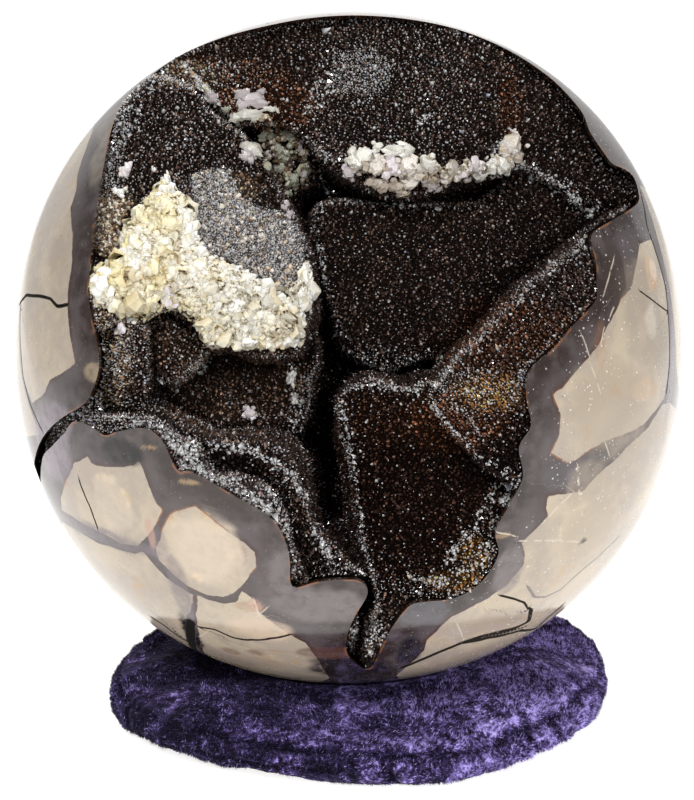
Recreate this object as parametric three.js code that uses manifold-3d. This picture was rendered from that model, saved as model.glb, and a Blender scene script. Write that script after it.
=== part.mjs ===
// A septarian nodule, polished to a ball, on a round velvet cushion. Millimetres, +Z up, front at -Y.
// The ball's front and top open into one hollow whose floor is stepped blocks, as mud dried, cracked and
// was lined by crystals. The hollow is shaped in the face frame: x right, y up and z out of the face,
// with its centre at the ball's centre.
import * as THREE from "three";
import { mergeVertices } from "three/addons/utils/BufferGeometryUtils.js";
import Module from "manifold-3d";

// The ball and its face
const BALL_RADIUS = 76;
const BALL_CENTRE_HEIGHT = 84;
const FACE_TILT = THREE.MathUtils.degToRad(15); // the hollow looks this far above level
const BALL_SEGMENTS = 40;
const BALL_RINGS = 24;
const GAP = 0.3; // between pieces that touch

// The hollow and its crust
const CRUST_DEPTH = 3.5;
const RIM_DROP = 1; // the crust stays this far under the polished surface
const RIM_HEIGHT = 12; // the lowest that the rim comes, towards the back of the ball
const CLIFF_SLOPE = 6; // a block's sides fall this much for each millimetre outward
const CELL = 4.6;
const SLIDE = 0.42; // the share of a cell that a grid point may slide
const FLOOR_HEIGHT = 12;
const GRAIN = 0.45; // how far the crystal facets stand in or out
const FIELD = { left: -76, right: 68, low: -74, high: 78 };
const TOOL_TOP = 90;
const TOOL_FOOT = -30;

// The crystals of the clusters
const CRYSTAL_LENGTHS = [0.7, 1.3]; // the shortest and the longest, as shares of their cluster's size
const CRYSTAL_WIDTHS = [0.5, 0.9];
const CRYSTAL_DEPTHS = [0.5, 0.8];
const CRYSTAL_SIZES = [0.7, 1.2];
const CRYSTAL_SHEAR = [0.25, 0.1, 0.2, 0.1, 0.15, 0.1];
const CRYSTAL_LIFT = 0.05; // a crystal's middle stands this share of its size over the crust

// The cushion
const CUSHION_RADIUS = 56.8;
const CUSHION_WAVES = [[0.6, -0.95], [0.85, -0.8], [0.6, 1.3], [1.05, -1.95]]; // size and phase
const CUSHION_SHIFT = [2, -2];
const WELT_HEIGHT = 8.8;
const CROWN_HEIGHT = 14.5;
const CUSHION_SECTORS = 32;

// The hollow's rim, seen along the face's axis, clockwise from the top left. A thin crack runs out of it
// to the left, and a slit runs down from it.
const RIM = [
  [-45.3, 58], [-38.4, 64], [-28.9, 68], [-18.9, 70.5], [-8.9, 72.4], [1.3, 73], [12.7, 72.1],
  [24, 69.7], [34.6, 65.1], [43.1, 59.3], [47.5, 54.7], [50.5, 50.5], [51.6, 46.4], [54.2, 42.4],
  [56.5, 39.5], [59.6, 38.7], [62.1, 37.3], [62.9, 34.2], [62.5, 31.3], [57.4, 27.9], [53.3, 25.6],
  [50.6, 23.6], [50.5, 20.9], [51.4, 17.2], [51.3, 12.8], [50.9, 9.4], [45.5, 4], [41.5, -0.5],
  [37.5, -4], [36, -7], [36, -11], [37, -16], [34.5, -20.5], [35.5, -26.5], [33, -32], [30, -38],
  [30.8, -43], [27.5, -49], [22, -52.5], [15.4, -53.2], [12.1, -54.3], [8.4, -59.9], [6.4, -64.6],
  [4.6, -69.2], [2.4, -69.2], [-0.6, -65.5], [-0.5, -60.5], [1.2, -56], [3.7, -51], [2, -48.3],
  [-2, -48], [-7, -48.5], [-12, -49.5], [-12.5, -42.5], [-15.5, -35.5], [-23.3, -30.5], [-28, -27.8],
  [-32.8, -25.4], [-35.4, -25.2], [-38.4, -19.4], [-42, -16.7], [-48.2, -17.5], [-51.1, -18.4],
  [-54.2, -16.6], [-58.3, -15.7], [-60.6, -18.2], [-64, -21.3], [-66.9, -24.2], [-69.4, -32.2],
  [-71.6, -29.6], [-68.9, -23.5], [-66.7, -19.9], [-63.7, -16.9], [-60.1, -14.4], [-56.8, -12.7],
  [-54.4, -10.4], [-52.2, -4.6], [-52.6, 0.9], [-54.5, 9.6], [-54.5, 15.6], [-54, 21.8], [-53.4, 28.4],
  [-52.6, 35.5], [-52.1, 40.1], [-51.6, 44.8], [-50.6, 49.7], [-48.7, 54.1],
];

// Height of a surface that lies a set depth under the polished ball
const under = (depth) => (x, y) =>
  Math.sqrt(Math.max((BALL_RADIUS - depth) ** 2 - x * x - y * y, 0));

// The blocks that stand in the hollow. Each has a top surface, a radius on its upper edge and an outline.
const BLOCKS = [
  {
    name: "upper slab",
    top: (x, y) => 31 - 0.55 * (y - 38) - 0.003 * x * x,
    edge: 2.5,
    outline: [
      [-50, 70], [-42, 60], [-37, 58], [-32, 54], [-29, 52], [-24, 49], [-15, 49], [-10, 46],
      [-7, 42], [-1, 37], [10, 33], [17, 34], [26, 37], [37, 39], [42, 37], [46, 35], [49, 31],
      [54, 32], [70, 31], [70, 80], [-50, 80],
    ],
  },
  {
    name: "boss",
    top: (x, y) => 35.5 - 0.55 * (y - 38) - 0.003 * x * x - 0.006 * ((x - 14) ** 2 + (y - 54) ** 2),
    edge: 3,
    outline: [
      [37, 54], [34, 65], [26, 73], [14, 76], [2, 74], [-6, 65], [-9, 54], [-6, 43], [2, 37],
      [13, 35], [26, 37], [34, 43],
    ],
  },
  {
    name: "left slab",
    top: (x, y) => 45 - 0.21 * (x + 54) - 0.53 * (y - 20),
    edge: 2.5,
    outline: [
      [-48, 66], [-44, 60], [-37, 58], [-33, 55], [-30, 51], [-26, 47], [-20, 39], [-16, 35],
      [-12, 27], [-9, 20], [-8, 13], [-10, 3], [-11, -1], [-18, -2], [-26, 1], [-34, 6], [-41, 9],
      [-52, 4], [-60, 6], [-60, 40],
    ],
  },
  {
    name: "cream cluster",
    top: (x, y) => 47.5 - 0.21 * (x + 54) - 0.53 * (y - 20),
    edge: 1.5,
    outline: [
      [-39, 37], [-47, 30], [-49, 19], [-54, 14], [-50, 7], [-44, 8], [-36, 9], [-31, 3], [-18, -2],
      [-10, -1], [-8, 13], [-10, 18], [-19, 13], [-27, 19], [-32, 24], [-33, 30],
    ],
  },
  {
    name: "middle slab",
    top: (x) => 24 - 0.06 * x,
    edge: 4,
    outline: [
      [-7, 31], [7, 32], [24, 31], [32, 34], [37, 38], [46, 36], [66, 33], [66, 20], [46, 0],
      [22, -12], [19, -2], [9, -5], [3, -3], [-1, 0], [-3, 5], [-7, 17], [-8, 25],
    ],
  },
  {
    name: "right wing",
    top: (x, y) => 60 + 0.9 * (x - 41.5) - 1.03 * (y + 0.5),
    edge: 2,
    outline: [
      [60, 29], [53, 25], [41, 16], [35, 11], [26, 1], [19, -7], [17, -11], [20, -16], [26, -22],
      [31, -25], [42, -28], [60, 0], [72, 28],
    ],
  },
  {
    name: "lower slab",
    top: (x) => 42 + 0.42 * x,
    edge: 2.5,
    outline: [
      [-2, -12], [0, -9], [5, -7], [11, -9], [19, -8], [30, -22], [42, -26], [38, -46], [12, -62],
      [5, -70], [3, -66], [4, -60], [6, -53], [3, -44], [1, -32], [0, -25], [-2, -17],
    ],
  },
  {
    name: "first terrace",
    top: under(2.5),
    edge: 1.5,
    outline: [
      [-62, -14], [-53, -15], [-41, -15], [-36, -19], [-32, -20], [-29, -26], [-21, -27], [-16, -31],
      [-12, -41], [-11, -52], [-30, -45], [-62, -25],
    ],
  },
  {
    name: "second terrace",
    top: under(9),
    edge: 2,
    outline: [
      [-66, -17], [-53, -12], [-44, -12], [-38, -15], [-29, -20], [-18, -20], [-13, -23], [-10, -30],
      [-9, -36], [-6, -40], [-1, -45], [3, -50], [-2, -54], [-30, -45], [-66, -25],
    ],
  },
  {
    name: "shadowed ledge",
    top: () => 30,
    edge: 2,
    outline: [[-46, 4], [-10, 4], [-9, -7], [-11, -18], [-24, -18], [-37, -14], [-46, -12]],
  },
  {
    name: "left bench",
    top: under(8),
    edge: 2,
    outline: [[-60, 8], [-45, 6], [-43, -3], [-44, -12], [-49, -13], [-60, -14]],
  },
  {
    name: "knob",
    top: (x, y) => 46 - 0.08 * ((x + 39) ** 2 + y * y),
    edge: 2,
    outline: [[-31, 0], [-34, 6], [-39, 9], [-45, 6], [-47, 0], [-45, -5], [-39, -7.5], [-34, -5]],
  },
  {
    name: "side crack",
    top: under(4),
    edge: 1,
    outline: [[-55, -8], [-66, -12], [-76, -22], [-76, -34], [-66, -34], [-60, -22], [-54, -18]],
  },
];

// Clusters of clear and white crystals: where they run, how many, their size and how far they stand up
const CLUSTERS = [
  { name: "cream cluster", path: [[-50, 12], [-42, 24], [-40, 30]], spread: 5, count: 11, size: 7 },
  { name: "cream foot", path: [[-44, 15], [-30, 9], [-20, 4], [-12, 6]], spread: 4, count: 14, size: 6.5 },
  { name: "white shelf", path: [[1, 38], [8, 38], [14, 36], [24, 37.5], [31, 39], [35, 44]], spread: 1.5,
    count: 13, size: 5.5 },
  { name: "clear group", path: [[-23, 54], [-19, 52]], spread: 1, count: 3, size: 7 },
  { name: "cleft crystals", path: [[-18, 44], [-12, 38]], spread: 2, count: 4, size: 5.5 },
  { name: "seam crystals", path: [[-38, 56], [-27, 47]], spread: 0.5, count: 3, size: 4 },
  { name: "rim crystals", path: [[13, -50], [24, -49], [30, -42]], spread: 1, count: 3, size: 4 },
];

const wasm = await Module();
wasm.setup();

// A repeatable random number from 0 to 1
let seed = 20260;
function random() {
  seed = (seed * 1664525 + 1013904223) % 4294967296;
  return seed / 4294967296;
}

const between = ([low, high]) => low + (high - low) * random();

function toSolid(geometry) {
  const plain = geometry.clone();
  plain.deleteAttribute("normal");
  plain.deleteAttribute("uv");
  const merged = mergeVertices(plain, 1e-4);
  const mesh = new wasm.Mesh({
    numProp: 3,
    vertProperties: merged.attributes.position.array,
    triVerts: new Uint32Array(merged.index.array),
  });
  return new wasm.Manifold(mesh);
}

function toGeometry(solid) {
  const mesh = solid.getMesh();
  return new THREE.BufferGeometry()
    .setAttribute("position", new THREE.BufferAttribute(mesh.vertProperties, 3))
    .setIndex(new THREE.BufferAttribute(mesh.triVerts, 1));
}

// The solid's largest body, without loose chips and with the sealed pockets between crystals filled
function largestBody(solid) {
  return solid.decompose().reduce((most, body) => (body.volume() > most.volume() ? body : most));
}

// The outline's nearest point, and the distance to it, which is positive inside the outline
function nearestOnOutline(x, y, outline) {
  const found = { distance: Infinity, x, y };
  let inside = false;
  outline.forEach(([ax, ay], i) => {
    const [bx, by] = outline[(i + 1) % outline.length];
    const [ex, ey] = [bx - ax, by - ay];
    const along = THREE.MathUtils.clamp(((x - ax) * ex + (y - ay) * ey) / (ex * ex + ey * ey), 0, 1);
    const [px, py] = [ax + along * ex, ay + along * ey];
    const distance = Math.hypot(x - px, y - py);
    if (distance < found.distance) Object.assign(found, { distance, x: px, y: py });
    if (ay > y !== by > y && x < ax + (ex * (y - ay)) / ey) inside = !inside;
  });
  return { ...found, distance: inside ? found.distance : -found.distance };
}

// A block's height at a point: its top, a rounded edge, then a steep side
function blockHeight(block, x, y) {
  const depth = nearestOnOutline(x, y, block.outline).distance;
  const top = block.top(x, y);
  if (depth < 0) return top - block.edge + CLIFF_SLOPE * depth;
  const run = Math.max(block.edge - depth, 0);
  return top - block.edge + Math.sqrt(block.edge ** 2 - run ** 2);
}

// The crust's upper surface: the highest block, and never above the polished ball
function crustHeight(x, y) {
  const ceiling = Math.sqrt(Math.max(BALL_RADIUS ** 2 - x * x - y * y, RIM_HEIGHT ** 2)) - RIM_DROP;
  const floor = Math.max(FLOOR_HEIGHT, ...BLOCKS.map((block) => blockHeight(block, x, y)));
  return Math.min(floor, ceiling);
}

// A grid point near the edge of a block that stands free there slides onto that edge
function slideToEdge(x, y) {
  const near = BLOCKS.map((block) => ({ ...nearestOnOutline(x, y, block.outline), block }))
    .filter(({ distance }) => Math.abs(distance) < SLIDE * CELL)
    .filter((edge) => edge.block.top(edge.x, edge.y) > crustHeight(edge.x, edge.y) - edge.block.edge)
    .sort((one, other) => Math.abs(one.distance) - Math.abs(other.distance));
  return near.length ? [near[0].x, near[0].y] : [x, y];
}

// The field's grid of points on the crust, each set back by part of a grain, so that its facets look like
// crystal
const columns = Math.round((FIELD.right - FIELD.left) / CELL);
const rows = Math.round((FIELD.high - FIELD.low) / CELL);
const points = [];
for (let row = 0; row <= rows; row++) {
  for (let column = 0; column <= columns; column++) {
    const [x, y] = slideToEdge(FIELD.left + column * CELL, FIELD.low + row * CELL);
    points.push({ x, y, height: crustHeight(x, y) - GRAIN * random() });
  }
}

// A closed slab over the field, between two surfaces given as functions of the crust's height
function fieldSolid(upper, lower) {
  const positions = [];
  const index = [];
  const stride = columns + 1;
  const layer = stride * (rows + 1);
  for (const height of [upper, lower]) {
    for (const point of points) positions.push(point.x, point.y, height(point.height));
  }
  for (let row = 0; row < rows; row++) {
    for (let column = 0; column < columns; column++) {
      const a = row * stride + column;
      const [b, c, d] = [a + 1, a + stride + 1, a + stride];
      const drop = (i, j) => Math.abs(points[i].height - points[j].height);
      // The diagonal joins the corners nearest in height, so that a ridge isn't cut into teeth
      const faces = drop(b, d) < drop(a, c) ? [[a, b, d], [b, c, d]] : [[a, b, c], [a, c, d]];
      for (const [p, q, r] of faces) index.push(p, q, r, p + layer, r + layer, q + layer);
    }
  }
  const wall = (p, q) => index.push(p, p + layer, q + layer, p, q + layer, q);
  for (let column = 0; column < columns; column++) {
    wall(column, column + 1);
    wall(rows * stride + column + 1, rows * stride + column);
  }
  for (let row = 0; row < rows; row++) {
    wall((row + 1) * stride, row * stride);
    wall(row * stride + columns, (row + 1) * stride + columns);
  }
  const geometry = new THREE.BufferGeometry()
    .setAttribute("position", new THREE.Float32BufferAttribute(positions, 3))
    .setIndex(index);
  return toSolid(geometry);
}

// A prism along the face's axis over the rim's outline, moved inward by a margin
function rimPrism(margin) {
  const corners = RIM.map(([x, y], i) => {
    const [px, py] = RIM[(i + RIM.length - 1) % RIM.length];
    const [nx, ny] = RIM[(i + 1) % RIM.length];
    const length = Math.hypot(nx - px, ny - py);
    return new THREE.Vector2(x + (margin * (ny - py)) / length, y - (margin * (nx - px)) / length);
  });
  const prism = new THREE.ExtrudeGeometry(new THREE.Shape(corners), {
    depth: TOOL_TOP - TOOL_FOOT,
    bevelEnabled: false,
  });
  return toSolid(prism.translate(0, 0, TOOL_FOOT));
}

// One blocky crystal, tilted at random, its foot in the crust
function crystalSolid(x, y, size) {
  const sides = [CRYSTAL_LENGTHS, CRYSTAL_WIDTHS, CRYSTAL_DEPTHS];
  const block = new THREE.BoxGeometry(...sides.map((range) => size * between(range)));
  block.applyMatrix4(new THREE.Matrix4().makeShear(...CRYSTAL_SHEAR));
  block.rotateX(between([-1, 1]));
  block.rotateY(between([-1, 1]));
  block.rotateZ(between([0, Math.PI]));
  return toSolid(block.translate(x, y, crustHeight(x, y) + CRYSTAL_LIFT * size));
}

function clusterSolids({ path, spread, count, size }) {
  const curve = new THREE.CatmullRomCurve3(path.map(([x, y]) => new THREE.Vector3(x, y, 0)));
  return Array.from({ length: count }, (_, i) => {
    const point = curve.getPointAt((i + 0.5) / count);
    const x = point.x + between([-spread, spread]);
    const y = point.y + between([-spread, spread]);
    return crystalSolid(x, y, size * between(CRYSTAL_SIZES));
  });
}

function makeNodule() {
  const ball = toSolid(new THREE.SphereGeometry(BALL_RADIUS, BALL_SEGMENTS, BALL_RINGS));
  const space = fieldSolid(
    () => TOOL_TOP,
    (height) => height - CRUST_DEPTH - GAP,
  );
  return toGeometry(largestBody(ball.subtract(space.intersect(rimPrism(0)))));
}

function makeCrust() {
  const slab = fieldSolid(
    (height) => height,
    (height) => height - CRUST_DEPTH,
  );
  const roof = fieldSolid(
    () => TOOL_TOP,
    (height) => height - CRUST_DEPTH,
  );
  const limit = toSolid(new THREE.SphereGeometry(BALL_RADIUS - GAP, BALL_SEGMENTS, BALL_RINGS));
  const crystals = CLUSTERS.flatMap(clusterSolids).reduce((all, crystal) => all.add(crystal));
  const kept = crystals.intersect(roof).intersect(limit);
  return toGeometry(largestBody(slab.add(kept).intersect(rimPrism(GAP))));
}

// The cushion's outer radius at an angle: round, with slow waves of one to four lobes
function cushionRadius(angle) {
  const waves = CUSHION_WAVES.map(([size, phase], i) => size * Math.cos((i + 1) * angle + phase));
  return CUSHION_RADIUS + waves.reduce((sum, wave) => sum + wave);
}

// The cushion's top at a share of its radius: a low crown that falls to the welt
function crownHeight(share) {
  return WELT_HEIGHT + (CROWN_HEIGHT - WELT_HEIGHT) * Math.cos((Math.PI / 2) * share) ** 0.6;
}

function makeCushion() {
  const topShares = [0.15, 0.28, 0.38, 0.47, 0.56, 0.67, 0.79, 0.9, 0.97];
  const side = [
    { share: 1, height: 7.4 },
    { share: 1.01, height: 4.5 },
    { share: 0.985, height: 1.4 },
    { share: 0.95, height: 0 },
  ];
  const dish = (x, y) => BALL_CENTRE_HEIGHT - Math.sqrt((BALL_RADIUS + GAP) ** 2 - x * x - y * y);
  const positions = [];
  const put = (angle, share, height) => {
    const x = CUSHION_SHIFT[0] + share * cushionRadius(angle) * Math.cos(angle);
    const y = CUSHION_SHIFT[1] + share * cushionRadius(angle) * Math.sin(angle);
    positions.push(x, y, height ?? Math.min(crownHeight(share), dish(x, y)));
  };
  put(0, 0);
  for (const ring of [...topShares.map((share) => ({ share })), ...side]) {
    for (let i = 0; i < CUSHION_SECTORS; i++) {
      put((2 * Math.PI * i) / CUSHION_SECTORS, ring.share, ring.height);
    }
  }
  put(0, 0, 0);
  const ringCount = topShares.length + side.length;
  const last = 1 + ringCount * CUSHION_SECTORS;
  const index = [];
  for (let i = 0; i < CUSHION_SECTORS; i++) {
    const next = (i + 1) % CUSHION_SECTORS;
    index.push(0, 1 + i, 1 + next);
    for (let ring = 1; ring < ringCount; ring++) {
      const inner = 1 + (ring - 1) * CUSHION_SECTORS;
      const outer = inner + CUSHION_SECTORS;
      index.push(inner + i, outer + i, outer + next, inner + i, outer + next, inner + next);
    }
    const foot = last - CUSHION_SECTORS;
    index.push(last, foot + next, foot + i);
  }
  return new THREE.BufferGeometry()
    .setAttribute("position", new THREE.Float32BufferAttribute(positions, 3))
    .setIndex(index);
}

function pieceMesh(name, geometry, colour, roughness) {
  const shaded = geometry.toNonIndexed();
  shaded.computeVertexNormals();
  const material = new THREE.MeshStandardMaterial({ color: colour, roughness, metalness: 0 });
  const mesh = new THREE.Mesh(shaded, material);
  mesh.name = name;
  return mesh;
}

const face = new THREE.Group();
face.position.z = BALL_CENTRE_HEIGHT;
face.rotation.x = Math.PI / 2 - FACE_TILT;
face.add(pieceMesh("nodule", makeNodule(), "#b9a98f", 0.2));
face.add(pieceMesh("crystal_crust", makeCrust(), "#3a261d", 0.35));

const model = new THREE.Group();
model.add(face);
model.add(pieceMesh("cushion", makeCushion(), "#35306a", 0.9));

export default model;
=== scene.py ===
"""A polished septarian nodule whose front opens into a crystal-lined hollow, resting on a velvet cushion.

Shapes are worked out in millimetres in the face frame: x to the right, y up and z out of the hollow's face,
with its centre at the ball's centre. FaceFrame carries them into the model's own frame, in metres.
"""

import logging
import math
from dataclasses import dataclass, field
from enum import Enum
from typing import Callable, Iterator, Sequence

import bpy
import numpy as np
from mathutils import Matrix, Vector


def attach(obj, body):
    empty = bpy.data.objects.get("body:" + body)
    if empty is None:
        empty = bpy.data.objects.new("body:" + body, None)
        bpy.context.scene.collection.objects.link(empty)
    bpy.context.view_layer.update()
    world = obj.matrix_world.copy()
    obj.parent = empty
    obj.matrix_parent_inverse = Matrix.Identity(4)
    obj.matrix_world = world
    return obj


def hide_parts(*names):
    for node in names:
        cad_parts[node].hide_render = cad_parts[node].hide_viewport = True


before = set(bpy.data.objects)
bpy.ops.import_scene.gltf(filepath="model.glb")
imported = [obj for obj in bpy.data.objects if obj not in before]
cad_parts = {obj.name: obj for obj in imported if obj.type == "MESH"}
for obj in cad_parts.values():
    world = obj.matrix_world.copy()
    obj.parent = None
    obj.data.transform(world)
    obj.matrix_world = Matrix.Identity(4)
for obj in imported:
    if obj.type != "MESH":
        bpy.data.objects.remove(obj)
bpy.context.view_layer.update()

log = logging.getLogger("septarian_nodule")
logging.basicConfig(level=logging.INFO, format="%(name)s: %(message)s")

MM = 0.001
Array = np.ndarray
Points = Sequence[tuple[float, float]]
Waves = tuple[tuple[float, float], ...]


# ---------------------------------------------------------------------------------------------------------
# Frames, noise and outlines
# ---------------------------------------------------------------------------------------------------------


def waved(angle: Array, waves: Waves) -> Array:
    """Sum of size * cos(lobes * angle + phase) over waves of one, two and more lobes."""
    return sum(size * np.cos(lobes * angle + phase) for lobes, (size, phase) in enumerate(waves, 1))


@dataclass(frozen=True)
class FaceFrame:
    """The ball and the frame of its open face, in millimetres."""

    radius: float = 76.0
    centre_height: float = 84.0
    tilt: float = math.radians(15)
    waves: Waves = ((0.28, 2.9), (0.31, -2.72), (0.06, -2.99), (0.52, 2.89))

    def swell(self, x: Array, y: Array) -> Array:
        """How many times wider the ball, which isn't quite round, is at face points.

        Its outline stands out by the waves, and the stretch falls off inwards as the fourth power of the
        distance from the middle.

        Args:
            x: face x of each point.
            y: face y of each point.

        Returns:
            One factor for each point, near 1.
        """
        angle = np.arctan2(y, x)
        return 1 + waved(angle, self.waves) / self.radius * np.minimum(np.hypot(x, y) / self.radius, 1) ** 4

    def to_world(self, points: Array) -> Array:
        """Turns face points by the tilt, lifts them to the ball's centre and gives them in metres.

        Args:
            points: face points, one row of x, y and z each.

        Returns:
            The same points in the model's frame, in metres.
        """
        x, y, z = points.T
        swell = self.swell(x, y)
        x, y = x * swell, y * swell
        sine, cosine = math.sin(self.tilt), math.cos(self.tilt)
        world = np.stack([x, y * sine - z * cosine, y * cosine + z * sine + self.centre_height], axis=1)
        return world * MM

    def cap_height(self, x: Array, y: Array, depth: float = 0.0, floor: float = 0.0) -> Array:
        """Height of the surface a set depth under the polished ball, and never under a floor.

        Args:
            x: face x of each point.
            y: face y of each point.
            depth: how far under the polished surface.
            floor: the lowest height given.

        Returns:
            The height z at each point: the root of (radius - depth)^2 - x^2 - y^2.
        """
        return np.sqrt(np.maximum((self.radius - depth) ** 2 - x * x - y * y, floor * floor))

    def underside(self, x: Array, y: Array, gap: float) -> Array:
        """Height of the ball's underside, less a gap, over places on the table, in millimetres.

        Args:
            x: model x of each place.
            y: model y of each place.
            gap: the space kept under the ball.

        Returns:
            The height at each place.
        """
        reach = self.radius + gap
        low = np.sqrt(np.maximum(reach**2 - x * x - y * y, 0))
        up = y * math.sin(self.tilt) - low * math.cos(self.tilt)
        reach = reach * self.swell(x, up)
        return self.centre_height - np.sqrt(np.maximum(reach**2 - x * x - y * y, 0))

    def arc_map(self, points: Array) -> tuple[Array, Array]:
        """Lays the ball out flat: arc length from the face's axis, along each point's own direction.

        Args:
            points: face points on or near the ball.

        Returns:
            The two arc coordinates in millimetres. The pole behind the ball is 239 mm out.
        """
        x, y, z = points.T
        out = np.maximum(np.hypot(x, y), 1e-6)
        arc = self.radius * np.arctan2(out, z)
        return arc * x / out, arc * y / out


FACE = FaceFrame()


@dataclass
class ValueNoise:
    """Smooth repeatable noise on a lattice of random numbers from -1 to 1."""

    seed: int = 7
    size: int = 48
    octave_shift: float = 31.7

    def __post_init__(self) -> None:
        """Fills the lattice."""
        self.lattice = np.random.default_rng(self.seed).uniform(-1, 1, (self.size,) * 3)

    def at(self, points: Array, cell: float) -> Array:
        """Noise with one lattice cell per cell millimetres: the eight corners blended by 3t^2 - 2t^3.

        Args:
            points: rows of x, y, z in millimetres.
            cell: the size of one bump.

        Returns:
            One number from -1 to 1 for each point.
        """
        scaled = points / cell
        base = np.floor(scaled).astype(int)
        share = scaled - base
        share = share * share * (3 - 2 * share)
        total = np.zeros(len(points))
        for corner in range(8):
            step = np.array([corner & 1, corner >> 1 & 1, corner >> 2 & 1])
            weight = np.prod(np.where(step, share, 1 - share), axis=1)
            index = (base + step) % self.size
            total += weight * self.lattice[index[:, 0], index[:, 1], index[:, 2]]
        return total

    def fractal(self, points: Array, cell: float, octaves: int = 3) -> Array:
        """Noise summed over octaves, each with half the size and half the strength of the last.

        Args:
            points: rows of x, y, z in millimetres.
            cell: the size of the largest bumps.
            octaves: how many sizes are summed.

        Returns:
            One number from about -1 to 1 for each point.
        """
        total = np.zeros(len(points))
        for octave in range(octaves):
            total += self.at(points + self.octave_shift * octave, cell / 2**octave) / 2**octave
        return total / (2 - 0.5 ** (octaves - 1))


NOISE = ValueNoise()


def flat_points(x: Array, y: Array, z: float = 0.0) -> Array:
    """Rows of x, y and one z, for noise over a plane."""
    return np.stack([x, y, np.full_like(x, z)], axis=1)


def unit(vectors: Array) -> Array:
    """Each row divided by its length."""
    return vectors / np.linalg.norm(vectors, axis=1)[:, None]


def smooth_step(value: Array, low: float, high: float) -> Array:
    """0 at low and 1 at high, by 3t^2 - 2t^3 between them."""
    share = np.clip((value - low) / (high - low), 0, 1)
    return share * share * (3 - 2 * share)


def rounded(outline: Points, steps: int = 3, closed: bool = True) -> Array:
    """Carries a Catmull-Rom curve through the outline's points.

    Args:
        outline: the corner points.
        steps: points made for each stretch.
        closed: whether the last point joins the first.

    Returns:
        The curve's points, one row each.
    """
    corner = np.asarray(outline, float)
    if not closed:
        corner = np.vstack([2 * corner[0] - corner[1], corner, 2 * corner[-1] - corner[-2]])
    before, after, beyond = (np.roll(corner, shift, axis=0) for shift in (1, -1, -2))
    t = (np.arange(steps) / steps)[:, None, None]
    curve = 0.5 * (
        2 * corner
        + (after - before) * t
        + (2 * before - 5 * corner + 4 * after - beyond) * t**2
        + (3 * corner - before - 3 * after + beyond) * t**3
    )
    points = curve.transpose(1, 0, 2).reshape(-1, 2)
    if closed:
        return points
    return np.vstack([points[steps:-2 * steps], corner[-2]])


def signed_distance(x: Array, y: Array, outline: Array) -> Array:
    """Distance to a closed outline, positive inside it.

    Each side gives the distance to its nearest point, and a point is inside where a level ray crosses an
    odd number of sides.

    Args:
        x: x of each point.
        y: y of each point.
        outline: the outline's points, one row each.

    Returns:
        One distance for each point.
    """
    nearest = np.full(x.shape, np.inf)
    inside = np.zeros(x.shape, bool)
    for (ax, ay), (bx, by) in zip(outline, np.roll(outline, -1, axis=0)):
        ex, ey = bx - ax, by - ay
        along = np.clip(((x - ax) * ex + (y - ay) * ey) / max(ex * ex + ey * ey, 1e-12), 0, 1)
        nearest = np.minimum(nearest, (x - ax - along * ex) ** 2 + (y - ay - along * ey) ** 2)
        if ay != by:
            inside ^= ((ay > y) != (by > y)) & (x < ax + ex * (y - ay) / ey)
    return np.where(inside, 1, -1) * np.sqrt(nearest)


def line_offset(x: Array, y: Array, path: Array) -> tuple[Array, Array]:
    """Signed sideways offset from an open path, and how far a point lies past the path's ends.

    Args:
        x: x of each point.
        y: y of each point.
        path: the path's points, one row each.

    Returns:
        The offset, positive to the left of the path, and the distance beyond its ends, 0 beside it.
    """
    nearest = np.full(x.shape, np.inf)
    offset = np.zeros(x.shape)
    beyond = np.zeros(x.shape)
    for (ax, ay), (bx, by) in zip(path[:-1], path[1:]):
        ex, ey = bx - ax, by - ay
        length = math.hypot(ex, ey)
        free = ((x - ax) * ex + (y - ay) * ey) / length
        along = np.clip(free, 0, length)
        distance = np.hypot(x - ax - along * ex / length, y - ay - along * ey / length)
        side = (ex * (y - ay) - ey * (x - ax)) / length
        closer = distance < nearest
        nearest = np.where(closer, distance, nearest)
        offset = np.where(closer, side, offset)
        beyond = np.where(closer, np.abs(free - along), beyond)
    return offset, beyond


# ---------------------------------------------------------------------------------------------------------
# Meshes
# ---------------------------------------------------------------------------------------------------------


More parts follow.
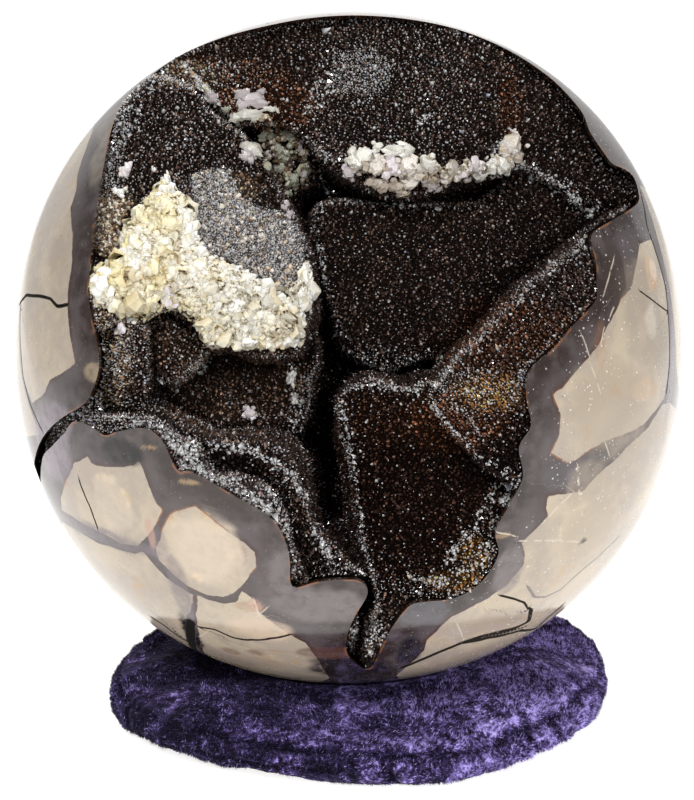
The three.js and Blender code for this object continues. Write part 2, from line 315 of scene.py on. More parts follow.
@dataclass
class Surface:
    """A triangle mesh as arrays, in face millimetres, with named numbers or colours at its points."""

    points: Array
    triangles: Array
    layers: dict[str, Array] = field(default_factory=dict)

    @staticmethod
    def grid(columns: int, rows: int, wrap: bool = False) -> Array:
        """Triangles of a grid whose points are numbered along its rows.

        Args:
            columns: points in a row.
            rows: number of rows.
            wrap: whether a row's last point joins its first.

        Returns:
            Two triangles for each cell, one row of three point numbers each.
        """
        across = np.arange(columns if wrap else columns - 1)
        down = np.arange(rows - 1)
        row, column = np.meshgrid(down, across, indexing="ij")
        a = (row * columns + column).ravel()
        b = (row * columns + (column + 1) % columns).ravel()
        c, d = b + columns, a + columns
        return np.vstack([np.stack([a, b, c], 1), np.stack([a, c, d], 1)])

    def clipped(self, level: Array) -> "Surface":
        """Keeps the part where level is positive, cut exactly along level 0.

        A triangle with one or two points below 0 is cut where its sides cross 0, and what is left is one
        triangle or two.

        Args:
            level: one number for each point.

        Returns:
            The part that is kept, with its layers blended along the cut.
        """
        below = level[self.triangles] <= 0
        count = below.sum(axis=1)
        whole = self.triangles[count == 0]
        # Each cut triangle is turned so that its odd point comes first
        one_left = _odd_first(self.triangles[count == 2], ~below[count == 2])
        one_gone = _odd_first(self.triangles[count == 1], below[count == 1])
        pairs = np.vstack([part[:, [0, end]] for part in (one_left, one_gone) for end in (1, 2)])
        edges, number = np.unique(np.sort(pairs, axis=1), axis=0, return_inverse=True)
        number = number.reshape(-1) + len(self.points)
        left, gone = len(one_left), len(one_gone)
        first, second = number[:left], number[left : 2 * left]
        third, fourth = number[2 * left : 2 * left + gone], number[2 * left + gone :]
        triangles = np.vstack([
            whole,
            np.stack([one_left[:, 0], first, second], 1),
            np.stack([third, one_gone[:, 1], one_gone[:, 2]], 1),
            np.stack([third, one_gone[:, 2], fourth], 1),
        ])
        share = level[edges[:, 0]] / (level[edges[:, 0]] - level[edges[:, 1]])

        def blended(values: Array) -> Array:
            """Adds the values at the cut points.

            Args:
                values: one number or row for each point.

            Returns:
                The same, followed by those of the cut points.
            """
            weight = share.reshape((-1,) + (1,) * (values.ndim - 1))
            cut = values[edges[:, 0]] * (1 - weight) + values[edges[:, 1]] * weight
            return np.concatenate([values, cut])

        layers = {name: blended(values) for name, values in self.layers.items()}
        return Surface(blended(self.points), triangles, layers).trimmed()

    def trimmed(self) -> "Surface":
        """The same surface without the points that no triangle uses."""
        used, renumbered = np.unique(self.triangles, return_inverse=True)
        layers = {name: values[used] for name, values in self.layers.items()}
        return Surface(self.points[used], renumbered.reshape(self.triangles.shape), layers)

    def border(self) -> Array:
        """The open sides, in the triangles' own direction, one row of two point numbers each."""
        sides = np.vstack([self.triangles[:, [0, 1]], self.triangles[:, [1, 2]], self.triangles[:, [2, 0]]])
        key = np.sort(sides, axis=1)
        _, index, count = np.unique(key, axis=0, return_index=True, return_counts=True)
        return sides[index[count == 1]]

    def facets(self) -> tuple[Array, Array, Array]:
        """Middle, unit normal and area of each triangle."""
        a, b, c = (self.points[self.triangles[:, i]] for i in range(3))
        cross = np.cross(b - a, c - a)
        length = np.maximum(np.linalg.norm(cross, axis=1), 1e-12)
        return (a + b + c) / 3, cross / length[:, None], length / 2

    def build(self, name: str, material: bpy.types.Material, smooth: bool) -> bpy.types.Object:
        """Puts the surface into the scene.

        Args:
            name: the object's name.
            material: its finish.
            smooth: whether its facets are shaded as one surface.

        Returns:
            The new object, at the origin.
        """
        return build_mesh(name, FACE.to_world(self.points), self.triangles, self.layers, material, smooth)


def _odd_first(triangles: Array, odd: Array) -> Array:
    """Turns each triangle round until its one marked point comes first.

    Args:
        triangles: rows of three point numbers.
        odd: which point of each is marked.

    Returns:
        The same triangles, turned.
    """
    start = np.argmax(odd, axis=1)
    order = (start[:, None] + np.arange(3)) % 3
    return np.take_along_axis(triangles, order, axis=1)


def build_mesh(name: str, points: Array, triangles: Array, layers: dict[str, Array],
               material: bpy.types.Material, smooth: bool) -> bpy.types.Object:
    """Makes a mesh object from arrays.

    Args:
        name: the object's name.
        points: its points in metres.
        triangles: rows of three point numbers.
        layers: numbers or colours at the points, each kept as an attribute of its name.
        material: its finish.
        smooth: whether its facets are shaded as one surface.

    Returns:
        The new object.
    """
    mesh = bpy.data.meshes.new(name)
    mesh.vertices.add(len(points))
    mesh.vertices.foreach_set("co", points.astype(np.float32).ravel())
    mesh.loops.add(triangles.size)
    mesh.loops.foreach_set("vertex_index", triangles.astype(np.int32).ravel())
    mesh.polygons.add(len(triangles))
    mesh.polygons.foreach_set("loop_start", np.arange(0, triangles.size, 3, dtype=np.int32))
    mesh.update(calc_edges=True)
    mesh.polygons.foreach_set("use_smooth", np.full(len(triangles), smooth))
    for layer, values in layers.items():
        if values.ndim == 1:
            attribute = mesh.attributes.new(layer, "FLOAT", "POINT")
            attribute.data.foreach_set("value", values.astype(np.float32))
        else:
            attribute = mesh.attributes.new(layer, "FLOAT_COLOR", "POINT")
            colours = np.hstack([values, np.ones((len(values), 1))])
            attribute.data.foreach_set("color", colours.astype(np.float32).ravel())
    mesh.materials.append(material)
    piece = bpy.data.objects.new(name, mesh)
    bpy.context.scene.collection.objects.link(piece)
    return piece


def evaluated(piece: bpy.types.Object) -> bpy.types.Mesh:
    """A new mesh of the piece as its modifiers leave it."""
    return bpy.data.meshes.new_from_object(piece.evaluated_get(bpy.context.evaluated_depsgraph_get()))


def coordinates(mesh: bpy.types.Mesh) -> Array:
    """The mesh's points.

    Args:
        mesh: the mesh that they are read from.

    Returns:
        One row of x, y and z for each point.
    """
    flat = np.empty(3 * len(mesh.vertices), np.float32)
    mesh.vertices.foreach_get("co", flat)
    return flat.reshape(-1, 3).astype(float)


class Slot(Enum):
    """The record's finishes."""

    STONE = "polished_stone"
    DRUSE = "dark_druse"
    VELVET = "velvet"


def keep(piece: bpy.types.Object, slot: Slot, *nodes: str) -> None:
    """Rides a piece on the model's one body and hides the solids that it replaces.

    Args:
        piece: the finished piece.
        slot: not used.
        nodes: the solids that it replaces.
    """
    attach(piece, "root")
    if nodes:
        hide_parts(*nodes)
    log.info("%s: %d triangles", piece.name, len(piece.data.polygons))


# ---------------------------------------------------------------------------------------------------------
# Finishes
# ---------------------------------------------------------------------------------------------------------

Colour = tuple[float, float, float]


def _operator(operation: str, swapped: bool = False) -> Callable[..., "Value"]:
    """A method of Value that adds one Math node.

    Args:
        operation: what the node does.
        swapped: whether self comes second, as in a reflected operator.

    Returns:
        The method, which takes one other value or none.
    """

    def method(self: "Value", other: "Value | float" = 0.0) -> "Value":
        """The operation on self and the other value.

        Args:
            other: a value or a number, left out where only one is needed.

        Returns:
            The new value.
        """
        first, second = (other, self) if swapped else (self, other)
        node = self.graph.node("ShaderNodeMath", {"operation": operation}, {0: first, 1: second})
        return Value(self.graph, node.outputs[0])

    return method


class Value:
    """A number socket of a material, so that its maths reads as Python."""

    def __init__(self, graph: "Graph", socket: bpy.types.NodeSocket) -> None:
        """Wraps a socket of a graph."""
        self.graph, self.socket = graph, socket

    __add__ = __radd__ = _operator("ADD")
    __sub__, __rsub__ = _operator("SUBTRACT"), _operator("SUBTRACT", swapped=True)
    __mul__ = __rmul__ = _operator("MULTIPLY")
    __truediv__, __rtruediv__ = _operator("DIVIDE"), _operator("DIVIDE", swapped=True)
    __abs__ = _operator("ABSOLUTE")
    at_most = _operator("MINIMUM")

    def ramp(self, low: float, high: float) -> "Value":
        """Eases the value to a share from 0 to 1.

        Args:
            low: where the share is 0. It may be the larger of the two.
            high: where the share is 1.

        Returns:
            The share.
        """
        node = self.graph.node(
            "ShaderNodeMapRange",
            {"interpolation_type": "SMOOTHSTEP"},
            {"Value": self, "From Min": low, "From Max": high, "To Min": 0.0, "To Max": 1.0},
        )
        return Value(self.graph, node.outputs[0])


class Graph:
    """The node tree of one material."""

    def __init__(self, name: str) -> None:
        """Starts a material with one Principled shader.

        Args:
            name: the material's name.
        """
        self.material = bpy.data.materials.new(name)
        self.material.use_nodes = True
        self.tree = self.material.node_tree
        self.tree.nodes.clear()
        self.output = self.tree.nodes.new("ShaderNodeOutputMaterial")
        self.shader = self.tree.nodes.new("ShaderNodeBsdfPrincipled")
        self.tree.links.new(self.shader.outputs[0], self.output.inputs[0])
        self._object = None

    def node(self, kind: str, settings: dict[str, object], sockets: dict) -> bpy.types.Node:
        """Adds a node.

        Args:
            kind: the node's type.
            settings: its properties, set before its sockets.
            sockets: a value, a Value or a socket for each input, by name or number.

        Returns:
            The new node.
        """
        node = self.tree.nodes.new(kind)
        for key, setting in settings.items():
            setattr(node, key, setting)
        for key, value in sockets.items():
            self.feed(node.inputs[key], value)
        return node

    def feed(self, target: bpy.types.NodeSocket, value: object) -> None:
        """Links or sets one input.

        Args:
            target: the input.
            value: a Value, a socket, a colour or a plain value.
        """
        if isinstance(value, Value):
            self.tree.links.new(value.socket, target)
        elif isinstance(value, bpy.types.NodeSocket):
            self.tree.links.new(value, target)
        elif isinstance(value, tuple) and target.type == "RGBA":
            target.default_value = (*value, 1.0)
        else:
            target.default_value = value

    def place(self) -> bpy.types.NodeSocket:
        """The piece's own object coordinates."""
        if self._object is None:
            self._object = self.node("ShaderNodeTexCoord", {}, {}).outputs["Object"]
        return self._object

    def axis(self, number: int) -> Value:
        """One of the piece's own coordinates, in metres."""
        parts = self.node("ShaderNodeSeparateXYZ", {}, {0: self.place()})
        return Value(self, parts.outputs[number])

    def layer(self, name: str) -> Value:
        """A number kept at the mesh's points."""
        return Value(self, self.node("ShaderNodeAttribute", {"attribute_name": name}, {}).outputs["Fac"])

    def layer_colour(self, name: str) -> bpy.types.NodeSocket:
        """A colour kept at the mesh's points."""
        return self.node("ShaderNodeAttribute", {"attribute_name": name}, {}).outputs["Color"]

    def noise(self, size_mm: float, detail: float = 2.0, distortion: float = 0.0) -> Value:
        """Noise from about 0.2 to 0.8 with bumps of a size in millimetres.

        Args:
            size_mm: the size of its largest bumps.
            detail: how many finer sizes are added.
            distortion: how far it is swirled.

        Returns:
            The noise.
        """
        sockets = {"Vector": self.place(), "Scale": 1 / (size_mm * MM)}
        sockets |= {"Detail": detail, "Distortion": distortion}
        return Value(self, self.node("ShaderNodeTexNoise", {}, sockets).outputs[0])

    def spots(self, size_mm: float) -> Value:
        """Distance from the nearest of many strewn points, as a share of a size in millimetres."""
        sockets = {"Vector": self.place(), "Scale": 1 / (size_mm * MM)}
        return Value(self, self.node("ShaderNodeTexVoronoi", {}, sockets).outputs["Distance"])

    def blend(self, share: "Value | float", first: object, second: object) -> bpy.types.NodeSocket:
        """Mixes two colours.

        Args:
            share: how much of the second colour.
            first: the first colour.
            second: the second colour.

        Returns:
            The mixed colour.
        """
        return self.node("ShaderNodeMix", {"data_type": "RGBA"}, {0: share, 6: first, 7: second}).outputs[2]

    def bump(self, height: Value, depth_mm: float, under: bpy.types.NodeSocket | None = None
             ) -> bpy.types.NodeSocket:
        """A bumped normal.

        Args:
            height: the relief, 0 to 1.
            depth_mm: how deep its full range is.
            under: a normal that this relief lies on.

        Returns:
            The normal.
        """
        sockets = {"Height": height, "Distance": depth_mm * MM, "Strength": 1.0}
        if under is not None:
            sockets["Normal"] = under
        return self.node("ShaderNodeBump", {}, sockets).outputs[0]

    def finish(self, **sockets: object) -> bpy.types.Material:
        """Sets the shader's inputs, with _ for a space in their names, and gives the material."""
        for key, value in sockets.items():
            self.feed(self.shader.inputs[key.replace("_", " ")], value)
        return self.material


@dataclass(frozen=True)
class StoneFinish:
    """Polished beige limestone, parted by veins of grey-brown calcite with rusty edges."""

    lime: Colour = (0.50, 0.415, 0.31)
    lime_grey: Colour = (0.40, 0.335, 0.27)
    lime_stain: Colour = (0.50, 0.29, 0.11)
    calcite: Colour = (0.105, 0.087, 0.088)
    calcite_brown: Colour = (0.030, 0.019, 0.016)
    edge_brown: Colour = (0.055, 0.020, 0.014)
    rust: Colour = (0.26, 0.10, 0.04)
    pale: Colour = (0.62, 0.54, 0.43)
    black: Colour = (0.008, 0.006, 0.005)

    def make(self) -> bpy.types.Material:
        """Builds the material from the layers lime, rim, tint, strength, crack, healed and thread."""
        g = Graph("polished_septarian_stone")
        lime, rim = g.layer("lime"), g.layer("rim")
        wobble = (g.noise(1.4, 2) - 0.5) * 0.5
        edge = lime + wobble
        patchy = g.noise(10, 2)
        colour = g.blend(edge.ramp(-0.1, 0.1), self.vein(g, edge, rim), self.stone(g))
        stain = g.layer("strength") * (g.noise(2.5, 3).ramp(0.3, 0.6) * 0.4 + 0.6)
        colour = g.blend(stain, colour, g.layer_colour("tint"))
        rust_line = abs(edge + 0.12).ramp(0.3, 0.08) * patchy.ramp(0.52, 0.66)
        rim_line = (rim + wobble).ramp(0.6, 0.1) * g.noise(6, 2).ramp(0.50, 0.64)
        colour = g.blend((rust_line + rim_line).at_most(0.6), colour, self.rust)
        colour = g.blend(rim.ramp(-0.02, -0.25), colour, self.lip(g))
        thread = self.line(g, "thread", wobble, 1.1, 0.5)
        colour = g.blend(thread * 0.8, colour, self.calcite)
        healed = self.line(g, "healed", wobble, 1.4, 0.5) * g.noise(2.4, 2).ramp(0.35, 0.5)
        colour = g.blend(healed * 0.7, colour, self.pale)
        crack = self.line(g, "crack", wobble, 1.15, 0.7)
        colour = g.blend(crack * 0.95, colour, self.black)
        dents = g.noise(1.0, 1).ramp(0.71, 0.76)
        dust = self.dust(g)
        colour = g.blend(dust * 0.75, colour, (0.85, 0.82, 0.78))
        relief = g.noise(26, 2) * 0.3 - dents * 0.1 - crack * 0.4 + dust * 0.1
        return g.finish(
            Base_Color=colour,
            Roughness=g.noise(6, 3) * 0.08 + crack * 0.7 + dents * 0.25 + dust * 0.4 + 0.09,
            Metallic=crack,
            Normal=g.bump(relief, 0.25),
            IOR=1.52,
        )

    @staticmethod
    def line(g: Graph, layer: str, wobble: Value, edge: float, core: float) -> Value:
        """1 on the lines of a layer, fading from core to edge half widths and just past their ends."""
        return abs(g.layer(layer) + wobble).ramp(edge, core) * g.layer(layer + "_past").ramp(1.4, 0.6)

    def stone(self, g: Graph) -> bpy.types.NodeSocket:
        """Limestone: clouded beige with faint orange stains, fine mottling and darker specks.

        Args:
            g: the material's node tree.

        Returns:
            Its colour.
        """
        cloud = g.noise(14, 4, 0.5) * 0.75 + g.noise(2.5, 3) * 0.25
        colour = g.blend(cloud.ramp(0.40, 0.60), self.lime_grey, self.lime)
        stain = g.noise(10, 2).ramp(0.60, 0.72) * g.noise(1.8, 3).ramp(0.38, 0.62) * 0.55
        colour = g.blend(stain, colour, self.lime_stain)
        return g.blend(g.noise(0.7, 1).ramp(0.69, 0.75) * 0.4, colour, self.calcite)

    def vein(self, g: Graph, edge: Value, rim: Value) -> bpy.types.NodeSocket:
        """Calcite: mottled grey-brown, darker near the rim and red-brown beside the limestone.

        Args:
            g: the material's node tree.
            edge: millimetres into the limestone.
            rim: millimetres from the hollow's rim.

        Returns:
            Its colour.
        """
        near_rim = rim.ramp(7.0, 0.3) * g.noise(4, 3).ramp(0.25, 0.75)
        shade = (g.noise(8, 3, 0.4) - 0.5) * 1.3 - near_rim * 1.1
        colour = g.blend(shade.ramp(-0.8, 0.5), self.calcite_brown, self.calcite)
        colour = g.blend(shade.ramp(-1.0, -1.6), colour, self.black)
        brown = edge.ramp(-1.5, -0.2) * g.noise(9, 2).ramp(0.4, 0.6)
        colour = g.blend(brown * 0.75, colour, self.edge_brown)
        grain = g.noise(0.6, 2).ramp(0.60, 0.8) * 0.22
        return g.blend(grain, colour, (0.22, 0.17, 0.15))

    def lip(self, g: Graph) -> bpy.types.NodeSocket:
        """The broken lip that turns into the hollow: nearly black, with rusty crumbs."""
        return g.blend(g.noise(1.2, 3).ramp(0.52, 0.7) * 0.5, (0.022, 0.012, 0.009), self.rust)

    @staticmethod
    def dust(g: Graph) -> Value:
        """Tiny pale specks, thicker on the stone's right side.

        Args:
            g: the material's node tree.

        Returns:
            1 on a speck and 0 between them.
        """
        spot = g.spots(2.2).ramp(0.13, 0.08)
        speck = g.spots(1.1).ramp(0.16, 0.10) * g.noise(3, 1).ramp(0.62, 0.55)
        right = g.axis(0).ramp(-5 * MM, 50 * MM)
        return (spot + speck).at_most(1.0) * g.noise(7, 2).ramp(0.58, 0.44) * (right * 0.85 + 0.12)


@dataclass(frozen=True)
class DruseFinish:
    """Dark crystal in the colour kept for each crystal, which carries painted shade at its foot."""

    name: str
    roughness: float = 0.25
    specular: float = 0.08
    rough_spread: float = 0.3

    def make(self) -> bpy.types.Material:
        """Builds the material from the colour layer shade."""
        g = Graph(self.name)
        shade = g.layer_colour("shade")
        return g.finish(
            Base_Color=shade,
            Roughness=g.noise(0.9, 2) * self.rough_spread + self.roughness,
            IOR=1.5,
            **{"Specular IOR Level": self.specular},
        )


@dataclass(frozen=True)
class CalciteFinish:
    """White to cream calcite, waxy and lightly see-through."""

    name: str = "white_calcite"
    transmission: float = 0.0
    subsurface: float = 0.3
    roughness: float = 0.3
    grime: Colour = (0.36, 0.27, 0.16)

    def make(self) -> bpy.types.Material:
        """Builds the material from the colour layer shade."""
        g = Graph(self.name)
        frost = g.noise(1.1, 3)
        colour = g.blend(frost.ramp(0.56, 0.75) * 0.22, g.layer_colour("shade"), self.grime)
        return g.finish(
            Base_Color=colour,
            Roughness=frost * 0.3 + (self.roughness - 0.12),
            Normal=g.bump(g.noise(0.6, 3), 0.15),
            IOR=1.55,
            **{
                "Transmission Weight": self.transmission,
                "Subsurface Weight": self.subsurface,
                "Subsurface Scale": 1.0 * MM,
                "Subsurface Radius": (1.0, 0.9, 0.7),
            },
        )


@dataclass(frozen=True)
class VelvetFinish:
    """Crushed indigo velvet, whose pile lies this way and that in patches, painted lighter towards its right
    side, with painted glints and with the pad's painted shading of ridges and grooves.
    """

    name: str = "crushed_velvet"
    deep: Colour = (0.003, 0.002, 0.008)
    body: Colour = (0.026, 0.018, 0.060)
    bright: Colour = (0.19, 0.14, 0.40)
    glint: Colour = (0.52, 0.43, 0.90)

    def make(self) -> bpy.types.Material:
        """Builds the material from the layer that holds the pad's painted shading of ridges and grooves."""
        g = Graph(self.name)
        crush = g.noise(11, 4, 1.6)
        tuft = g.noise(1.6, 3, 1.0)
        pile = g.noise(0.4, 1)
        # painted light: the pad is made lighter towards its right side
        right = g.axis(0).ramp(-60 * MM, 55 * MM)
        # crushed pile noise, plus the painted lighter right side and the painted shading of ridges and
        # grooves
        nap_and_painted_shading = crush * 0.55 + tuft * 0.62 + pile * 0.25 + right * 0.17 - 0.31 + g.layer("nap_and_painted_shading") * 0.12
        colour = g.blend(nap_and_painted_shading.ramp(0.38, 0.50), self.deep, self.body)
        colour = g.blend(nap_and_painted_shading.ramp(0.50, 0.64), colour, self.bright)
        # painted glints at the top of the range
        colour = g.blend(nap_and_painted_shading.ramp(0.60, 0.72), colour, self.glint)
        relief = g.bump(crush, 1.2)
        relief = g.bump(tuft, 0.8, relief)
        return g.finish(
            Base_Color=colour,
            Roughness=0.85,
            Normal=g.bump(pile, 0.3, relief),
            **{
                "Specular IOR Level": 0.1,
                "Sheen Weight": 0.2,
                "Sheen Roughness": 0.35,
                "Sheen Tint": (0.55, 0.48, 0.98),
            },
        )


# ---------------------------------------------------------------------------------------------------------
# The hollow
# ---------------------------------------------------------------------------------------------------------


@dataclass(frozen=True)
class Block:
    """A block of the hollow's floor: an outline, the height of its top and a rounded upper edge."""

    outline: Points
    top: Callable[[Array, Array], Array]
    edge: float = 2.0
    glitter: float = 1.0
    cliff: float = 13.0

    def height(self, x: Array, y: Array) -> Array:
        """Its top, a quarter-round edge inside the outline, and a steep side outside it.

        Args:
            x: face x of each point.
            y: face y of each point.

        Returns:
            The block's height at each point.
        """
        depth = signed_distance(x, y, rounded(self.outline))
        run = np.clip(self.edge - depth, 0, self.edge)
        fall = self.edge - np.sqrt(self.edge**2 - run**2) - self.cliff * np.minimum(depth, 0)
        return self.top(x, y) - fall


def under(depth: float) -> Callable[[Array, Array], Array]:
    """A top that follows the polished ball at a depth under it."""
    return lambda x, y: FACE.cap_height(x, y, depth)


def level(height: float) -> Callable[[Array, Array], Array]:
    """A top of one height."""
    return lambda x, y: np.full_like(x, height)


RIM: Points = (
    (-45.3, 58), (-38.4, 64), (-28.9, 68), (-18.9, 70.5), (-8.9, 72.4), (1.3, 73), (12.7, 72.1),
    (24, 69.7), (34.6, 65.1), (43.1, 59.3), (47.5, 54.7), (50.5, 50.5), (51.6, 46.4), (54.2, 42.4),
    (56.5, 39.5), (59.6, 38.7), (62.1, 37.3), (62.9, 34.2), (62.5, 31.3), (57.4, 27.9), (53.3, 25.6),
    (50.6, 23.6), (50.5, 20.9), (51.4, 17.2), (51.3, 12.8), (50.9, 9.4), (45.5, 4), (41.5, -0.5),
    (37.5, -4), (36, -7), (36, -11), (37, -16), (34.5, -20.5), (35.5, -26.5), (33, -32), (30, -38),
    (30.8, -43), (27.5, -49), (22, -52.5), (15.4, -53.2), (12.1, -54.3), (8.4, -59.9), (6.4, -64.6),
    (4.6, -69.2), (2.4, -69.2), (-0.6, -65.5), (-0.5, -60.5), (1.2, -56), (3.7, -51), (2, -48.3),
    (-2, -48), (-7, -48.5), (-12, -49.5), (-12.5, -42.5), (-15.5, -35.5), (-23.3, -30.5), (-28, -27.8),
    (-32.8, -25.4), (-35.4, -25.2), (-38.4, -19.4), (-42, -16.7), (-48.2, -17.5), (-51.1, -18.4),
    (-54.2, -16.6), (-58.3, -15.7), (-60.6, -18.2), (-64, -21.3), (-66.9, -24.2), (-69.4, -32.2),
    (-71.6, -29.6), (-68.9, -23.5), (-66.7, -19.9), (-63.7, -16.9), (-60.1, -14.4), (-56.8, -12.7),
    (-54.4, -10.4), (-52.2, -4.6), (-52.6, 0.9), (-54.5, 9.6), (-54.5, 15.6), (-54, 21.8), (-53.4, 28.4),
    (-52.6, 35.5), (-52.1, 40.1), (-51.6, 44.8), (-50.6, 49.7), (-48.7, 54.1),
)

UPPER_SLAB = Block(
    (
        (-50, 70), (-42, 60), (-37, 58), (-32, 54), (-29, 52), (-24, 49), (-15, 49), (-10, 46),
        (-7, 42), (-1, 37), (10, 33), (17, 34), (26, 37), (37, 39), (42, 37), (46, 35), (49, 31),
        (54, 32), (70, 31), (70, 80), (-50, 80),
    ),
    lambda x, y: 31 - 0.43 * (y - 38) - 0.003 * x * x,
    edge=2.5, glitter=0.15,
)
BOSS = Block(
    (
        (37, 54), (34, 65), (26, 73), (14, 76), (2, 74), (-6, 65), (-9, 54), (-6, 43), (2, 37),
        (13, 35), (26, 37), (34, 43),
    ),
    lambda x, y: 35 - 0.45 * (y - 38) - 0.003 * x * x - 0.005 * ((x - 14) ** 2 + (y - 54) ** 2),
    edge=3.0, glitter=0.05,
)
LEFT_SLAB = Block(
    (
        (-48, 66), (-44, 60), (-37, 58), (-33, 55), (-30, 51), (-26, 48), (-21, 44), (-18, 39), (-16, 35),
        (-12, 27), (-9, 20), (-8, 13), (-10, 3), (-11, -1), (-18, -2), (-26, 1), (-34, 6), (-41, 9),
        (-52, 4), (-60, 6), (-60, 40),
    ),
    lambda x, y: 45 - 0.21 * (x + 54) - 0.53 * (y - 20),
    edge=2.5, glitter=0.6,
)
CREAM_MOUND = Block(
    (
        (-39, 37), (-35, 33), (-33, 28), (-32, 22), (-28, 18.5), (-20, 15), (-14, 11), (-11, 14),
        (-9.5, 17), (-8.5, 13), (-9.5, 4), (-12, 1), (-18, 0), (-24, 1), (-30, 1), (-33, 7), (-39, 8.5),
        (-46, 7), (-53, 10.5), (-53.5, 15), (-49, 18.5), (-47.5, 25), (-43, 32),
    ),
    lambda x, y: 47.5 - 0.21 * (x + 54) - 0.53 * (y - 20),
    edge=1.5, glitter=0.0,
)
MIDDLE_SLAB = Block(
    (
        (-7, 31), (7, 32), (24, 31), (32, 34), (37, 38), (46, 36), (66, 33), (66, 20), (46, 0),
        (22, -12), (19, -2), (9, -5), (3, -3), (-1, 0), (-3, 5), (-7, 17), (-8, 25),
    ),
    lambda x, y: 24 - 0.06 * x,
    edge=4.0, glitter=0.35,
)
RIGHT_WING = Block(
    (
        (60, 29), (53, 25), (41, 16), (35, 11), (26, 1), (19, -7), (17, -11), (20, -16), (26, -22),
        (31, -25), (42, -28), (60, 0), (72, 28),
    ),
    lambda x, y: 60 + 0.9 * (x - 41.5) - 1.03 * (y + 0.5),
    edge=2.0, glitter=1.0,
)
LOWER_SLAB = Block(
    (
        (-2, -12), (0, -9), (5, -7), (11, -9), (19, -8), (30, -22), (42, -26), (38, -46), (12, -62),
        (5, -70), (3, -66), (4, -60), (6, -53), (3, -44), (1, -32), (0, -25), (-2, -17),
    ),
    lambda x, y: 42 + 0.42 * x,
    edge=2.5, glitter=0.8,
)
FIRST_TERRACE = Block(
    (
        (-62, -14), (-53, -15), (-41, -15), (-36, -19), (-32, -20), (-29, -26), (-21, -27), (-16, -31),
        (-12, -41), (-11, -52), (-30, -45), (-62, -25),
    ),
    under(2.5),
    edge=1.5, glitter=0.9,
)
SECOND_TERRACE = Block(
    (
        (-66, -17), (-53, -12), (-44, -12), (-38, -15), (-29, -20), (-18, -20), (-13, -23), (-10, -30),
        (-9, -36), (-6, -40), (-1, -45), (3, -50), (-2, -54), (-30, -45), (-66, -25),
    ),
    under(9),
    edge=2.0, glitter=0.9,
)
SHADOWED_LEDGE = Block(
    ((-46, 4), (-10, 4), (-9, -7), (-11, -18), (-24, -18), (-37, -14), (-46, -12)),
    level(30),
    edge=2.0, glitter=0.6,
)
LEFT_BENCH = Block(
    ((-60, 8), (-45, 6), (-43, -3), (-44, -12), (-49, -13), (-60, -14)),
    under(8),
    edge=2.0, glitter=0.3,
)
KNOB = Block(
    ((-31, 0), (-34, 6), (-39, 9), (-45, 6), (-47, 0), (-45, -5), (-39, -7.5), (-34, -5)),
    lambda x, y: 46 - 0.08 * ((x + 39) ** 2 + y * y),
    edge=2.0, glitter=0.5,
)
SIDE_CRACK = Block(
    ((-55, -8), (-66, -12), (-76, -22), (-76, -34), (-66, -34), (-60, -22), (-54, -18)),
    under(4),
    edge=1.0, glitter=0.5,
)
CLEFT_MOUND = Block(
    (
        (-20.5, 48), (-14, 49.5), (-9.5, 46.5), (-8.5, 40), (-8.8, 36), (-12, 35), (-13.5, 32.5),
        (-15.5, 33.5), (-17, 38), (-19.5, 42),
    ),
    level(18.5),
    edge=3.0, glitter=0.0, cliff=3.0,
)
SLIT_LEDGE = Block(
    ((-4, -52), (0.4, -55), (1.2, -60), (1.0, -66), (1.6, -71), (-5, -71)),
    under(3.5),
    edge=1.2, glitter=0.9,
)


